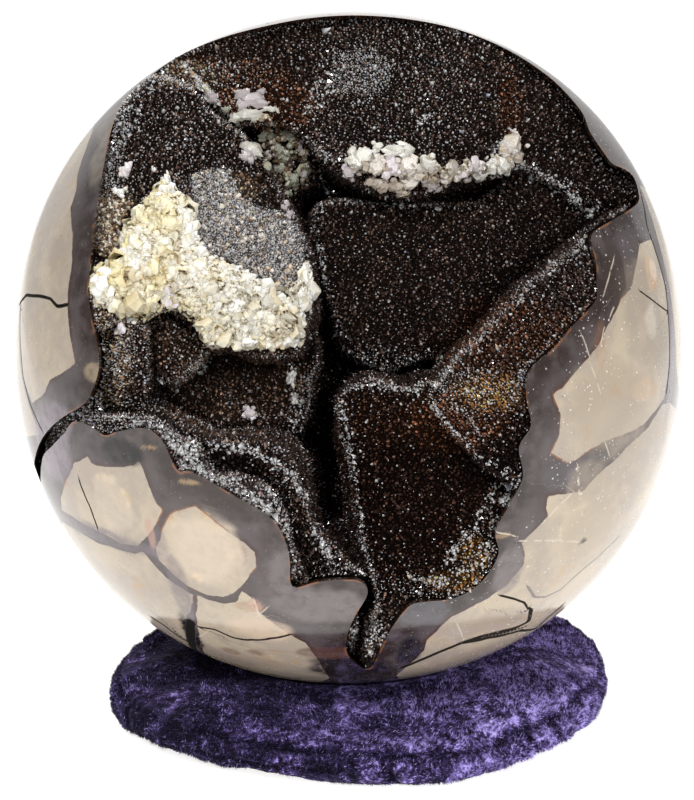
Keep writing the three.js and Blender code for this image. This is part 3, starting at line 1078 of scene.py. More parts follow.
@dataclass
class Hollow:
    """The open space in the ball's face, and the blocks that make its floor."""

    floor: float = 8.0
    rim_drop: float = 0.9
    rim_height: float = 12.0
    wander: float = 0.6
    lump_height: float = 0.5
    lump_size: float = 6.0
    cleft: float = 7.0
    blocks: tuple[Block, ...] = (
        UPPER_SLAB, BOSS, LEFT_SLAB, CREAM_MOUND, MIDDLE_SLAB, RIGHT_WING, LOWER_SLAB, FIRST_TERRACE,
        SECOND_TERRACE, SHADOWED_LEDGE, LEFT_BENCH, KNOB, SIDE_CRACK, CLEFT_MOUND, SLIT_LEDGE,
    )

    def __post_init__(self) -> None:
        """Rounds the rim's outline."""
        self.rim = rounded(RIM, 4)

    def wavering(self, x: Array, y: Array) -> tuple[Array, Array]:
        """The place whose block is used at each point, so that the blocks' edges waver.

        Args:
            x: face x of each point.
            y: face y of each point.

        Returns:
            The place's x and y.
        """
        spot = flat_points(x, y)
        return (
            x + self.wander * NOISE.fractal(spot, 4.0, 2),
            y + self.wander * NOISE.fractal(spot + 17.0, 4.0, 2),
        )

    def height(self, x: Array, y: Array) -> Array:
        """The crust's surface: the highest block at a wavering place, and never above the polished ball.

        Args:
            x: face x of each point.
            y: face y of each point.

        Returns:
            The height at each point, with low lumps.
        """
        wx, wy = self.wavering(x, y)
        height = np.full(x.shape, self.floor)
        for block in self.blocks:
            height = np.maximum(height, block.height(wx, wy))
        height += self.lump_height * NOISE.fractal(flat_points(x, y, 5.0), self.lump_size, 3)
        ceiling = FACE.cap_height(x, y, 0.0, self.rim_height) - self.rim_drop
        return np.minimum(height, ceiling)

    def inside(self, x: Array, y: Array) -> Array:
        """Distance from the rim, positive in the hollow."""
        return signed_distance(x, y, self.rim)

    def against_blocks(self, points: Array) -> Iterator[tuple[Block, Array, Array]]:
        """Each block with the points' distance into its outline and how far they lie under its top.

        Args:
            points: face points on the crust.

        Yields:
            The block and the two distances, which are negative outside it and over it.
        """
        x, y, z = points.T
        x, y = self.wavering(x, y)
        for block in self.blocks:
            yield block, signed_distance(x, y, rounded(block.outline)), block.top(x, y) - z

    def edges(self, points: Array, width: float) -> Array:
        """How much glitter points on the crust take from the upper edges of the blocks, from 0 to 1.

        Args:
            points: face points on the crust.
            width: how far from an edge the share falls to 0.

        Returns:
            One share for each point.
        """
        share = np.zeros(len(points))
        for block, depth, below in self.against_blocks(points):
            on_top = smooth_step(below, 2.0 + 0.7 * block.edge, 0.6 + 0.3 * block.edge)
            near = smooth_step(np.abs(depth - 0.3 * width), width, 0.3 * width)
            share = np.maximum(share, block.glitter * on_top * near)
        return share

    def gloom(self, points: Array) -> Array:
        """How deep points lie in a cleft: near a block's foot and well under its top, from 0 to 1. It sets
        the painted shade in clefts.

        Args:
            points: face points on the crust.

        Returns:
            One share for each point.
        """
        share = np.zeros(len(points))
        for block, depth, below in self.against_blocks(points):
            deep = smooth_step(below, block.edge, block.edge + self.cleft)
            share = np.maximum(share, deep * smooth_step(np.minimum(depth, 0), -self.cleft, -0.5))
        return share


# ---------------------------------------------------------------------------------------------------------
# The pieces
# ---------------------------------------------------------------------------------------------------------


@dataclass(frozen=True)
class Patch:
    """A soft oval spot with a strength."""

    x: float
    y: float
    wide: float
    tall: float
    strength: float = 1.0

    def share(self, x: Array, y: Array, fray: Array | float = 0.0) -> Array:
        """The strength inside the oval, eased to 0 past its edge, which fray moves in and out."""
        reach = np.hypot((x - self.x) / self.wide, (y - self.y) / self.tall) + fray
        return self.strength * smooth_step(reach, 1.2, 0.75)


Tints = tuple[tuple[Colour, tuple[Patch, ...]], ...]


def tinted(colour: Array, tint: Colour, share: Array) -> Array:
    """The colours, each turned to the tint by its share."""
    return colour + share[:, None] * (np.array(tint) - colour)


@dataclass
class PolishedBall:
    """The ball's polished stone, down to the hollow's rim."""

    hollow: Hollow
    cells: int = 144
    crowding: float = 0.40
    lip: float = 2.2
    undercut: float = 0.2

    def sphere(self) -> Surface:
        """Six square grids, each set on the ball through the tangents of two even angles, and joined.

        Its points crowd towards the face: the angle from its axis becomes angle - crowding * sin(angle).
        """
        angle = np.tan(np.linspace(-math.pi / 4, math.pi / 4, self.cells + 1))
        u, v = (grid.ravel() for grid in np.meshgrid(angle, angle))
        one = np.ones_like(u)
        sides = [
            (u, v, one), (-u, v, -one), (one, v, -u), (-one, v, u), (u, one, -v), (u, -one, v),
        ]
        quads = Surface.grid(self.cells + 1, self.cells + 1)
        points, triangles = [], []
        for number, side in enumerate(sides):
            direction = np.stack(side, axis=1)
            points.append(direction / np.linalg.norm(direction, axis=1)[:, None])
            triangles.append(quads + number * len(u))
        merged, index = np.unique(np.round(np.vstack(points), 6), axis=0, return_inverse=True)
        out = np.hypot(merged[:, 0], merged[:, 1])
        angle = np.arctan2(out, merged[:, 2])
        angle = angle - self.crowding * np.sin(angle)
        side = merged[:, :2] / np.maximum(out, 1e-9)[:, None] * np.sin(angle)[:, None]
        merged = np.column_stack([side, np.cos(angle)]) * FACE.radius
        return Surface(merged, index.reshape(-1)[np.vstack(triangles)])

    def surface(self) -> Surface:
        """The ball cut along the rim, with a lip turned into the hollow and the stone's pattern."""
        ball = self.sphere()
        x, y, z = ball.points.T
        away = np.maximum(-self.hollow.inside(x, y), self.hollow.rim_height - z)
        ball.layers["rim"] = away
        shell = ball.clipped(away)
        edge = shell.border()
        used, number = np.unique(edge, return_inverse=True)
        upper = number.reshape(edge.shape) + len(shell.points)
        lower = upper + len(used)
        sunk = shell.points[used] * (1 - self.undercut * self.lip / FACE.radius) - np.array([0, 0, self.lip])
        a, b, c, d = upper[:, 0], upper[:, 1], lower[:, 1], lower[:, 0]
        triangles = np.vstack([shell.triangles, np.stack([b, a, d], 1), np.stack([b, d, c], 1)])
        rim = np.concatenate([shell.layers["rim"], np.full(2 * len(used), -1.0)])
        shell = Surface(np.vstack([shell.points, shell.points[used], sunk]), triangles, {"rim": rim})
        shell.layers.update(StonePattern().layers(shell.points))
        return shell

    def build(self) -> None:
        """Makes the ball."""
        keep(self.surface().build("polished_ball", StoneFinish().make(), True), Slot.STONE, "nodule")


@dataclass
class StonePattern:
    """Where the ball's surface is limestone, calcite or crack, on its arc map, in millimetres."""

    front: tuple[Points, ...] = (
        # left, above and below the side crack
        (
            (-69, 10.5), (-68.5, 21.5), (-69.5, 28), (-71, 31.5), (-73, 36.5), (-72, 41), (-74, 47),
            (-74.5, 56), (-76.5, 64), (-82, 73), (-100, 75), (-120, 50), (-125, 13), (-99, 13.5),
            (-92.5, 15), (-82.5, 13.8), (-76.5, 12.6), (-73, 10.4),
        ),
        (
            (-69, 10), (-67, 1), (-65.5, -4), (-70, -6), (-76.5, -8.5), (-78.5, -11), (-83.5, -14),
            (-88, -15.5), (-94, -8.5), (-96.5, 3.5), (-98, 13), (-92.5, 14.4), (-82.5, 13), (-76.5, 12),
            (-73, 9.7),
        ),
        ((-98.5, 3), (-96, -8), (-91, -16), (-85, -24), (-110, -30), (-125, 0), (-100, 13)),
        # lower left
        (
            (-69, -29), (-66.5, -28), (-63.5, -26.5), (-62.5, -28), (-59.5, -28.5), (-54.5, -28),
            (-49, -27), (-47.5, -25.5), (-46.5, -27.5), (-45, -33.5), (-44, -35.5), (-42.5, -37),
            (-45.5, -42), (-48, -44.5), (-50.5, -47), (-51.5, -48.5), (-54.5, -49), (-57, -49.5),
            (-62.5, -48), (-69, -47.5), (-77.5, -46.5), (-82.5, -47), (-80, -42), (-74, -34.5),
        ),
        # the small one beside it
        (
            (-41, -38), (-42, -40), (-43.5, -42.5), (-44.5, -45.5), (-46.5, -48), (-46, -51.5), (-43, -55),
            (-39.5, -58), (-34.5, -60), (-30, -59.5), (-27, -58), (-23.5, -53), (-21, -49.5),
            (-21, -45.5), (-23.5, -43), (-26.5, -41), (-29.5, -38.5), (-34, -35), (-36, -35.5),
            (-39.5, -37),
        ),
        # below them
        (
            (-86.5, -52.5), (-77, -51), (-67, -52), (-59, -51.5), (-53.5, -51.5), (-50.5, -50),
            (-47.5, -54), (-44.5, -57.5), (-40, -60), (-38.5, -61), (-41, -68), (-42.5, -69.5),
            (-47.5, -85), (-49.5, -97), (-56, -105), (-80, -110), (-110, -80),
        ),
        # under the slit
        (
            (-44.5, -93.5), (-40.5, -75.5), (-39.5, -68.5), (-37.5, -62.5), (-37.5, -60.5), (-35, -61.5),
            (-30.5, -62), (-27, -61), (-25, -57), (-22, -60), (-23, -61.5), (-21, -64.5), (-15, -71),
            (-11, -74.5), (-8, -84), (-6, -96.5), (-15, -120), (-45, -115),
        ),
        # right
        (
            (82.5, 29.5), (75.5, 27), (73, 22), (69, 14.5), (64.5, 11), (60, 5), (56, -0.5), (52, -4),
            (46.5, -9), (44, -10), (46.5, -15), (46.5, -19.5), (44.5, -23.5), (49, -26), (51.5, -26),
            (55.5, -24), (60, -22.5), (70, -21), (75, -20), (81, -17), (86, -14), (88.5, -5), (88.5, 9.5),
            (87.5, 17.5),
        ),
        # lower right
        (
            (100.5, -19.5), (91.5, -16), (85.5, -15.5), (76.5, -22), (71, -24), (63.5, -28.5), (61, -29.5),
            (57, -32.5), (55.5, -34), (52, -34), (45, -34), (45, -37), (46, -39), (43, -42.5),
            (39.5, -45), (41, -48), (41.5, -52), (38, -57.5), (34, -61), (24.5, -66), (19.5, -74.5),
            (19.5, -79), (15.5, -90), (13.5, -96), (20, -120), (60, -120), (100, -90), (120, -40),
        ),
        # far right
        (
            (85, 48), (87, 37.5), (88, 30.5), (91.5, 16), (93.5, 5.5), (95, -5.5), (100.5, -12.5),
            (125, -5), (125, 30), (105, 50),
        ),
    )
    cracks: tuple[tuple[float, Points], ...] = (
        (0.5, ((-99.5, 13), (-92.5, 14.8), (-82.5, 13.5), (-76.5, 12.4), (-73, 10), (-69, 10.5))),
        (0.25, ((-98, 13), (-96.5, 3.5), (-94, -8.5), (-89.5, -16), (-83, -23))),
        (0.3, ((-68.5, -33), (-67, -38), (-66, -40.5), (-65, -47))),
        (0.7, ((-57.5, -78.5), (-53.5, -80.5), (-50.5, -85), (-48, -87))),
        (
            0.4,
            ((-39.5, -74), (-35, -73.5), (-31, -75.5), (-27, -76), (-23.5, -75), (-20, -73.5), (-14.5, -71)),
        ),
        (1.7, ((-41.9, -72.5), (-43.9, -78.3), (-46.2, -86.4), (-52.8, -107.1))),
        (
            0.8,
            (
                (14.5, -89.5), (19, -85.5), (24, -82), (30.5, -78.5), (35, -77.5), (41, -77.5),
                (45.5, -78), (50, -77), (48.5, -70.5),
            ),
        ),
        (0.8, ((30.5, -79), (38.5, -79.5), (49, -81.5), (57.5, -87.5), (58.5, -81.5), (63, -76))),
        (0.35, ((37, -61), (41.5, -63.5), (45, -66), (48, -70.5))),
        (0.3, ((83.5, 44.5), (81.5, 33), (88, 17), (88.5, 9.5), (88.5, -5), (87.5, -12.5))),
        (0.25, ((88.5, 9.5), (81, 11.5), (73, 14))),
    )
    healed: tuple[tuple[float, Points], ...] = (
        (0.3, ((52.5, -27.5), (54, -34.5))),
        (0.2, ((57.5, 0.5), (58.5, 4), (62.5, 10))),
        (0.2, ((52, 2.5), (54, -2))),
        (0.2, ((54.5, -4), (57.5, -10))),
        (0.2, ((60.5, -22.5), (62.5, -26))),
        (0.25, ((39, -44.5), (43.5, -45.5), (49.5, -46.5), (57.5, -49))),
        (0.2, ((50, -41), (51, -47))),
        (0.25, ((45, -40.5), (49, -36.5), (51.5, -34.5))),
        (0.25, ((26.5, -68.5), (28, -72), (30, -77.5))),
        (0.2, ((33, -41.5), (37.5, -43))),
        (0.25, ((-22.5, -59.5), (-22, -63.5), (-21.5, -65.5))),
        (0.2, ((-22.5, -65), (-21, -63.5), (-19.5, -61.5))),
        (0.3, ((-41.5, -79.5), (-39, -77), (-37, -74.5))),
        (0.2, ((58.5, 11), (63.5, 21.5))),
    )
    grey_lines: tuple[tuple[float, Points], ...] = (
        (0.5, ((44.5, -60), (48, -65), (52, -66.5), (57, -65.5), (62, -61), (69, -57.5), (76.5, -53.5))),
    )
    tints: Tints = (
        # yellow, orange and brown stains on the limestone
        ((0.62, 0.44, 0.18), (
            Patch(-52.8, -35.3, 2, 2.2, 0.4), Patch(-58.4, -31.2, 3, 1.2, 0.2),
            Patch(-26.5, -45, 2, 3, 0.3),
        )),
        ((0.60, 0.32, 0.12), (
            Patch(-36.2, -54.5, 1.3, 1.4, 0.5), Patch(79.8, 19, 3, 5, 0.45),
            Patch(74.7, -10.9, 6, 3, 0.4),
        )),
        ((0.20, 0.12, 0.08), (
            Patch(-24.1, -46.7, 1.4, 3, 0.5), Patch(-33.2, -84.1, 3, 2, 0.7),
            Patch(-25.5, -82.1, 2.4, 1.6, 0.7), Patch(-30, -88, 14, 4, 0.25),
        )),
        ((0.80, 0.74, 0.66), (Patch(77.5, 6.9, 3, 5, 0.3), Patch(81, 20.7, 2, 3, 0.3))),
        ((0.38, 0.31, 0.235), (
            Patch(60.5, -46.1, 9, 9, 0.5), Patch(39.1, -71.0, 9, 5, 0.9), Patch(63, -14, 14, 12, 0.6),
            Patch(72, 8, 8, 16, 0.4), Patch(56, -33, 6, 6, 0.5),
        )),
        ((0.60, 0.50, 0.39), (Patch(-33, -46.2, 9, 9, 0.8), Patch(-57.6, -38.3, 6, 8, 0.6))),
        ((0.62, 0.48, 0.36), (Patch(-22.4, -70.4, 8, 5, 0.7),)),
        # the calcite's own tints
        ((0.20, 0.165, 0.135), (Patch(-63, 50.8, 6, 9, 0.8), Patch(-66, 62, 7, 8, 0.8))),
        ((0.075, 0.063, 0.055), (Patch(62, 60, 9, 13, 0.8),)),
        ((0.040, 0.027, 0.022), (Patch(63.5, 18.4, 4, 8, 0.8), Patch(-26.8, -31.8, 6, 3, 0.7))),
        ((0.25, 0.205, 0.245), (
            Patch(-81, -27.6, 9, 10, 0.9), Patch(-76, -18, 8, 5, 0.7), Patch(90, 0, 2.5, 30, 0.6),
        )),
        ((0.16, 0.13, 0.145), (
            Patch(-66, -49, 20, 3, 0.8), Patch(-42, -60, 3, 12, 0.7), Patch(-45, -47, 3, 5, 0.5),
        )),
        ((0.19, 0.165, 0.165), (
            Patch(37.5, -53, 3.6, 7, 0.8), Patch(-9, -59.8, 12, 6, 0.8), Patch(-14, -50, 5, 7, 0.7),
        )),
        ((0.12, 0.12, 0.14), (Patch(47.7, -29, 5, 3.5, 0.2), Patch(16.7, -62.9, 7, 5, 0.6))),
        ((0.004, 0.003, 0.003), (
            Patch(-52.6, -24.1, 6.5, 3.2, 1.0), Patch(-43.9, -80, 2.6, 11, 1.0),
            Patch(15.5, -80, 3.5, 8, 0.9),
        )),
        ((0.008, 0.005, 0.004), (
            Patch(0, -88, 12, 8, 0.9), Patch(2, -75, 5, 4, 0.6), Patch(59.1, -49.2, 1.6, 1.1, 1.0),
        )),
        ((0.10, 0.04, 0.022), (Patch(-4.6, -78.6, 9, 3, 0.7),)),
        ((0.26, 0.11, 0.04), (Patch(57.3, 0.4, 1.8, 6, 0.3), Patch(-24, -62, 4, 1.6, 0.4))),
        ((0.46, 0.31, 0.15), (
            Patch(-44.2, -22.3, 2.4, 0.6, 0.6), Patch(-35.3, -29.4, 2.6, 0.7, 0.6),
            Patch(-32, -37, 1.4, 0.8, 0.6), Patch(34.5, -42.5, 2.2, 0.8, 0.5),
        )),
        ((0.36, 0.27, 0.18), (Patch(-58.9, -5.8, 3, 2.2, 0.7),)),
        ((0.48, 0.28, 0.22), (Patch(-47.1, -43.9, 1.2, 4, 0.6), Patch(-22.2, -61.1, 1.4, 2.2, 0.7))),
    )
    vein: float = 2.2
    seam_start: float = 112.0
    seam_end: float = 140.0
    back_stones: int = 46

    def layers(self, points: Array) -> dict[str, Array]:
        """The pattern's layers at the ball's points.

        Args:
            points: face points on the ball.

        Returns:
            lime, the distance into limestone; tint and strength, a stain's colour and how much of it shows;
            crack, healed and thread, sideways offsets from the lines, 1 at a line's edge.
        """
        waver = 0.3 * NOISE.fractal(points, 3.0, 2)
        x, y = FACE.arc_map(points)
        x, y = x + waver, y - waver
        front = np.full(x.shape, -50.0)
        for stone in self.front:
            front = np.maximum(front, signed_distance(x, y, np.array(stone)))
        share = smooth_step(np.hypot(x, y), self.seam_start, self.seam_end)
        fray = 0.35 * NOISE.fractal(points, 5.0, 3)
        tint, strength = np.zeros((len(x), 3)), np.zeros(len(x))
        for colour, patches in self.tints:
            for patch in patches:
                own = patch.share(x, y, fray)
                tint = tinted(tint, colour, own)
                strength = np.maximum(strength, own)
        return {
            "lime": front * (1 - share) + self.back(points) * share,
            "tint": tint / np.maximum(strength, 1e-3)[:, None],
            "strength": strength,
            **self.lines("crack", x, y, self.cracks),
            **self.lines("healed", x, y, self.healed),
            **self.lines("thread", x, y, self.grey_lines),
        }

    def back(self, points: Array) -> Array:
        """Cells round evenly spread seeds: half the difference between the two nearest distances.

        Args:
            points: face points on the ball.

        Returns:
            The distance into a cell, less half a vein's width.
        """
        number = np.arange(self.back_stones) + 0.5
        polar = np.arccos(1 - 2 * number / self.back_stones)
        turn = math.pi * (1 + math.sqrt(5)) * number
        jitter = np.random.default_rng(11).normal(0, 9, (self.back_stones, 3))
        seeds = FACE.radius * np.stack(
            [np.sin(polar) * np.cos(turn), np.sin(polar) * np.sin(turn), np.cos(polar)], axis=1
        ) + jitter
        distance = np.linalg.norm(points[:, None, :] - seeds[None], axis=2)
        nearest = np.sort(distance, axis=1)[:, :2]
        return (nearest[:, 1] - nearest[:, 0]) / 2 - self.vein * (0.7 + 0.4 * NOISE.at(points, 25.0))

    @staticmethod
    def lines(name: str, x: Array, y: Array, paths: tuple[tuple[float, Points], ...]) -> dict[str, Array]:
        """The offset from the nearest of several lines, and how far past its end a point lies.

        Args:
            name: the first layer's name, and with _past after it the second's.
            x: x of each point.
            y: y of each point.
            paths: the half width and the path of each line.

        Returns:
            The signed sideways offset over the half width, grown past the ends, and how far past them.
        """
        best, past = np.full(x.shape, 50.0), np.full(x.shape, 9.0)
        for half_width, path in paths:
            offset, beyond = line_offset(x, y, np.array(path, float))
            offset = (offset + np.where(offset < 0, -1, 1) * beyond) / half_width
            closer = np.abs(offset) < np.abs(best)
            best, past = np.where(closer, offset, best), np.where(closer, beyond, past)
        return {name: best, name + "_past": past}


GREY_PATCH: Points = (
    (-31.5, 38), (-29, 38.5), (-26.5, 38), (-25.5, 35.5), (-23.5, 32), (-21, 30.5), (-18.5, 29.5),
    (-15, 29), (-12.5, 26.5), (-11, 23), (-10, 18), (-10.5, 15.5), (-12.5, 12), (-14, 11.5),
    (-17, 13.5), (-19.5, 15), (-22.5, 16.5), (-25.5, 18), (-28, 19.5), (-30.5, 20.5), (-32, 22.5),
    (-33, 26.5), (-33.5, 30.5), (-33.5, 33.5), (-34.5, 36.5),
)
TAN_PATCH: Points = (
    (-53, 31.5), (-50, 31.5), (-46, 31), (-48, 27.5), (-49, 23.5), (-49, 20), (-52.5, 19),
    (-54, 21.5), (-53.5, 27),
)
CREAM_PATCH: Points = (
    (-39, 37.5), (-38, 34), (-36, 33), (-34, 30.5), (-33, 26.5), (-32, 22.5), (-30.5, 20.5),
    (-28, 19.5), (-25.5, 18), (-22.5, 16.5), (-19.5, 15), (-17, 13.5), (-14, 11.5), (-12.5, 12),
    (-10.5, 15.5), (-10, 18), (-9, 18), (-8.5, 14.5), (-8.5, 10.5), (-9.5, 9), (-10, 4.5), (-10, 2),
    (-12, 1), (-15.5, 1), (-18.5, 1), (-21.5, 0.5), (-25, 1.5), (-28.5, 1), (-30.5, 2), (-32, 5),
    (-33.5, 7.5), (-35.5, 9), (-39.5, 8.5), (-43, 7), (-45.5, 6.5), (-47.5, 8.5), (-50.5, 9.5),
    (-53.5, 10), (-54.5, 12.5), (-54, 14.5), (-52.5, 17.5), (-49.5, 18.5), (-47.5, 19), (-48, 21.5),
    (-48, 24.5), (-46, 28.5), (-44, 31), (-41, 34), (-40, 35.5),
)


@dataclass(frozen=True)
class Sparkle:
    """Larger pale crystals strewn along a line on the druse, whose pale colour partly stands in for painted
    glints.
    """

    count: int
    spread: float
    tint: Colour
    path: Points
    size: float = 0.3


COLD: Colour = (0.84, 0.80, 0.90)
SNOW: Colour = (1.0, 0.97, 0.94)
WARM: Colour = (0.90, 0.76, 0.58)
MOSSY: Colour = (0.62, 0.66, 0.58)

SPARKLES: tuple[Sparkle, ...] = (
    # the groove between the left slab and the upper one
    Sparkle(170, 0.45, WARM, ((-37, 62.5), (-35.5, 61), (-32.5, 57.2), (-29.5, 53.7)), 0.42),
    Sparkle(60, 0.5, COLD, ((-29.5, 53.7), (-27.5, 51.2), (-25.5, 49.2), (-24, 46)), 0.3),
    # the knob's lower right
    Sparkle(60, 0.9, SNOW, ((-30.3, 2.5), (-30.6, -0.6), (-31.6, -3.2), (-33.8, -5.3))),
    Sparkle(45, 0.8, SNOW, ((-42.7, -5.3), (-40.8, -7), (-38.5, -8.2), (-36.3, -7.6))),
    # the left slab
    Sparkle(150, 5.5, SNOW, ((-42, 36), (-40, 44), (-36, 52), (-33, 58)), 0.26),
    # the left rim
    Sparkle(430, 1.5, COLD, ((-53.5, 24), (-53, 35), (-52, 41), (-49.5, 48.5), (-44.5, 57.5), (-41, 62))),
    # the boss, its foot and the groove to its right
    Sparkle(30, 0.5, SNOW, ((15, 49), (18, 50.5))),
    Sparkle(50, 0.5, COLD, ((30.5, 41.5), (32, 43), (34, 44.5))),
    Sparkle(190, 0.7, SNOW, ((36.5, 40), (39.5, 38.5), (42.5, 36.5), (46, 35), (49, 32), (53, 29.5)), 0.36),
    Sparkle(60, 0.6, SNOW, ((-9, 44), (-6, 42.5), (-4.5, 41), (-2, 40.5))),
    Sparkle(90, 1.0, SNOW, ((-3, 60.5), (-6, 56.5), (-7.5, 54), (-9, 50.5))),
    Sparkle(50, 1.4, COLD, ((-7, 39.5), (-4.5, 38), (-6.5, 36), (-3, 35.5))),
    # the middle slab's edges
    Sparkle(90, 0.35, SNOW, ((-1, 32), (5, 31.5), (11.5, 31), (14.5, 31), (17.5, 31.5), (19.5, 30.5))),
    Sparkle(90, 0.5, COLD, ((-6, 31.5), (-7, 29.5), (-8, 26), (-7, 22.5), (-6, 18.5), (-5, 12.5))),
    Sparkle(80, 0.8, MOSSY, ((-3.5, 5), (-1.5, -0.5), (3.5, -4), (11, -4.5), (19.5, -3))),
    # the right wing's edges
    Sparkle(170, 0.5, SNOW, ((19, -7), (25.5, -0.5), (31.5, 6), (38, 12), (44.5, 17.5), (52.5, 22))),
    Sparkle(60, 0.6, COLD, ((35, -6), (38, -3.5), (41, -1.5))),
    Sparkle(90, 0.45, SNOW, ((17.5, -12), (20, -16), (26, -22.5), (34, -26))),
    # the lower slab's edges
    Sparkle(170, 0.28, COLD, ((-1.5, -12), (0.5, -23.5), (2, -33.5), (3.5, -44), (5.5, -53))),
    Sparkle(70, 0.35, SNOW, ((-1, -9), (6, -8), (10.5, -9), (16, -9.5))),
    Sparkle(150, 0.6, SNOW, ((36.8, -20), (37.7, -22.7), (36, -26.4), (33.5, -30), (31.8, -33)), 0.34),
    Sparkle(120, 0.8, SNOW, ((33, -26.5), (30.5, -28.5), (28, -34), (25, -39), (20, -44.5))),
    Sparkle(110, 0.8, WARM, ((30, -40), (26, -45.5), (19.5, -49.5), (13, -49))),
    # the terraces
    Sparkle(
        520, 0.7, SNOW,
        ((-36.5, -24.5), (-31, -26), (-23.5, -28.5), (-17, -33), (-14, -40), (-12.5, -46.5)), 0.36,
    ),
    Sparkle(
        300, 0.5, COLD,
        ((-30.5, -20.5), (-21, -21), (-14, -24.5), (-9.5, -30.5), (-7, -37.5), (-4, -44.5)), 0.33,
    ),
    Sparkle(330, 1.2, SNOW, ((-45, -16), (-40, -18), (-34, -21), (-29.5, -26)), 0.36),
    # the shadowed ledge under the cream crystals, and the gap's lower end
    Sparkle(50, 1.0, COLD, ((-27, -11), (-21.5, -14), (-17, -16.5), (-13, -16))),
    Sparkle(70, 0.9, SNOW, ((-12.5, -4), (-11.5, -9), (-11, -14), (-12, -18))),
    Sparkle(60, 0.8, COLD, ((-8, -38), (-5, -43), (-3, -47), (-3.5, -50))),
    # the slit
    Sparkle(70, 0.7, SNOW, ((-0.5, -56.5), (0, -63.5), (0, -69))),
    Sparkle(80, 0.7, SNOW, ((5, -55), (5.5, -60), (4, -66))),
    # the streak over the grey patch
    Sparkle(120, 1.0, WARM, ((-27.5, 36.5), (-25, 33), (-21.5, 29), (-20, 27))),
)


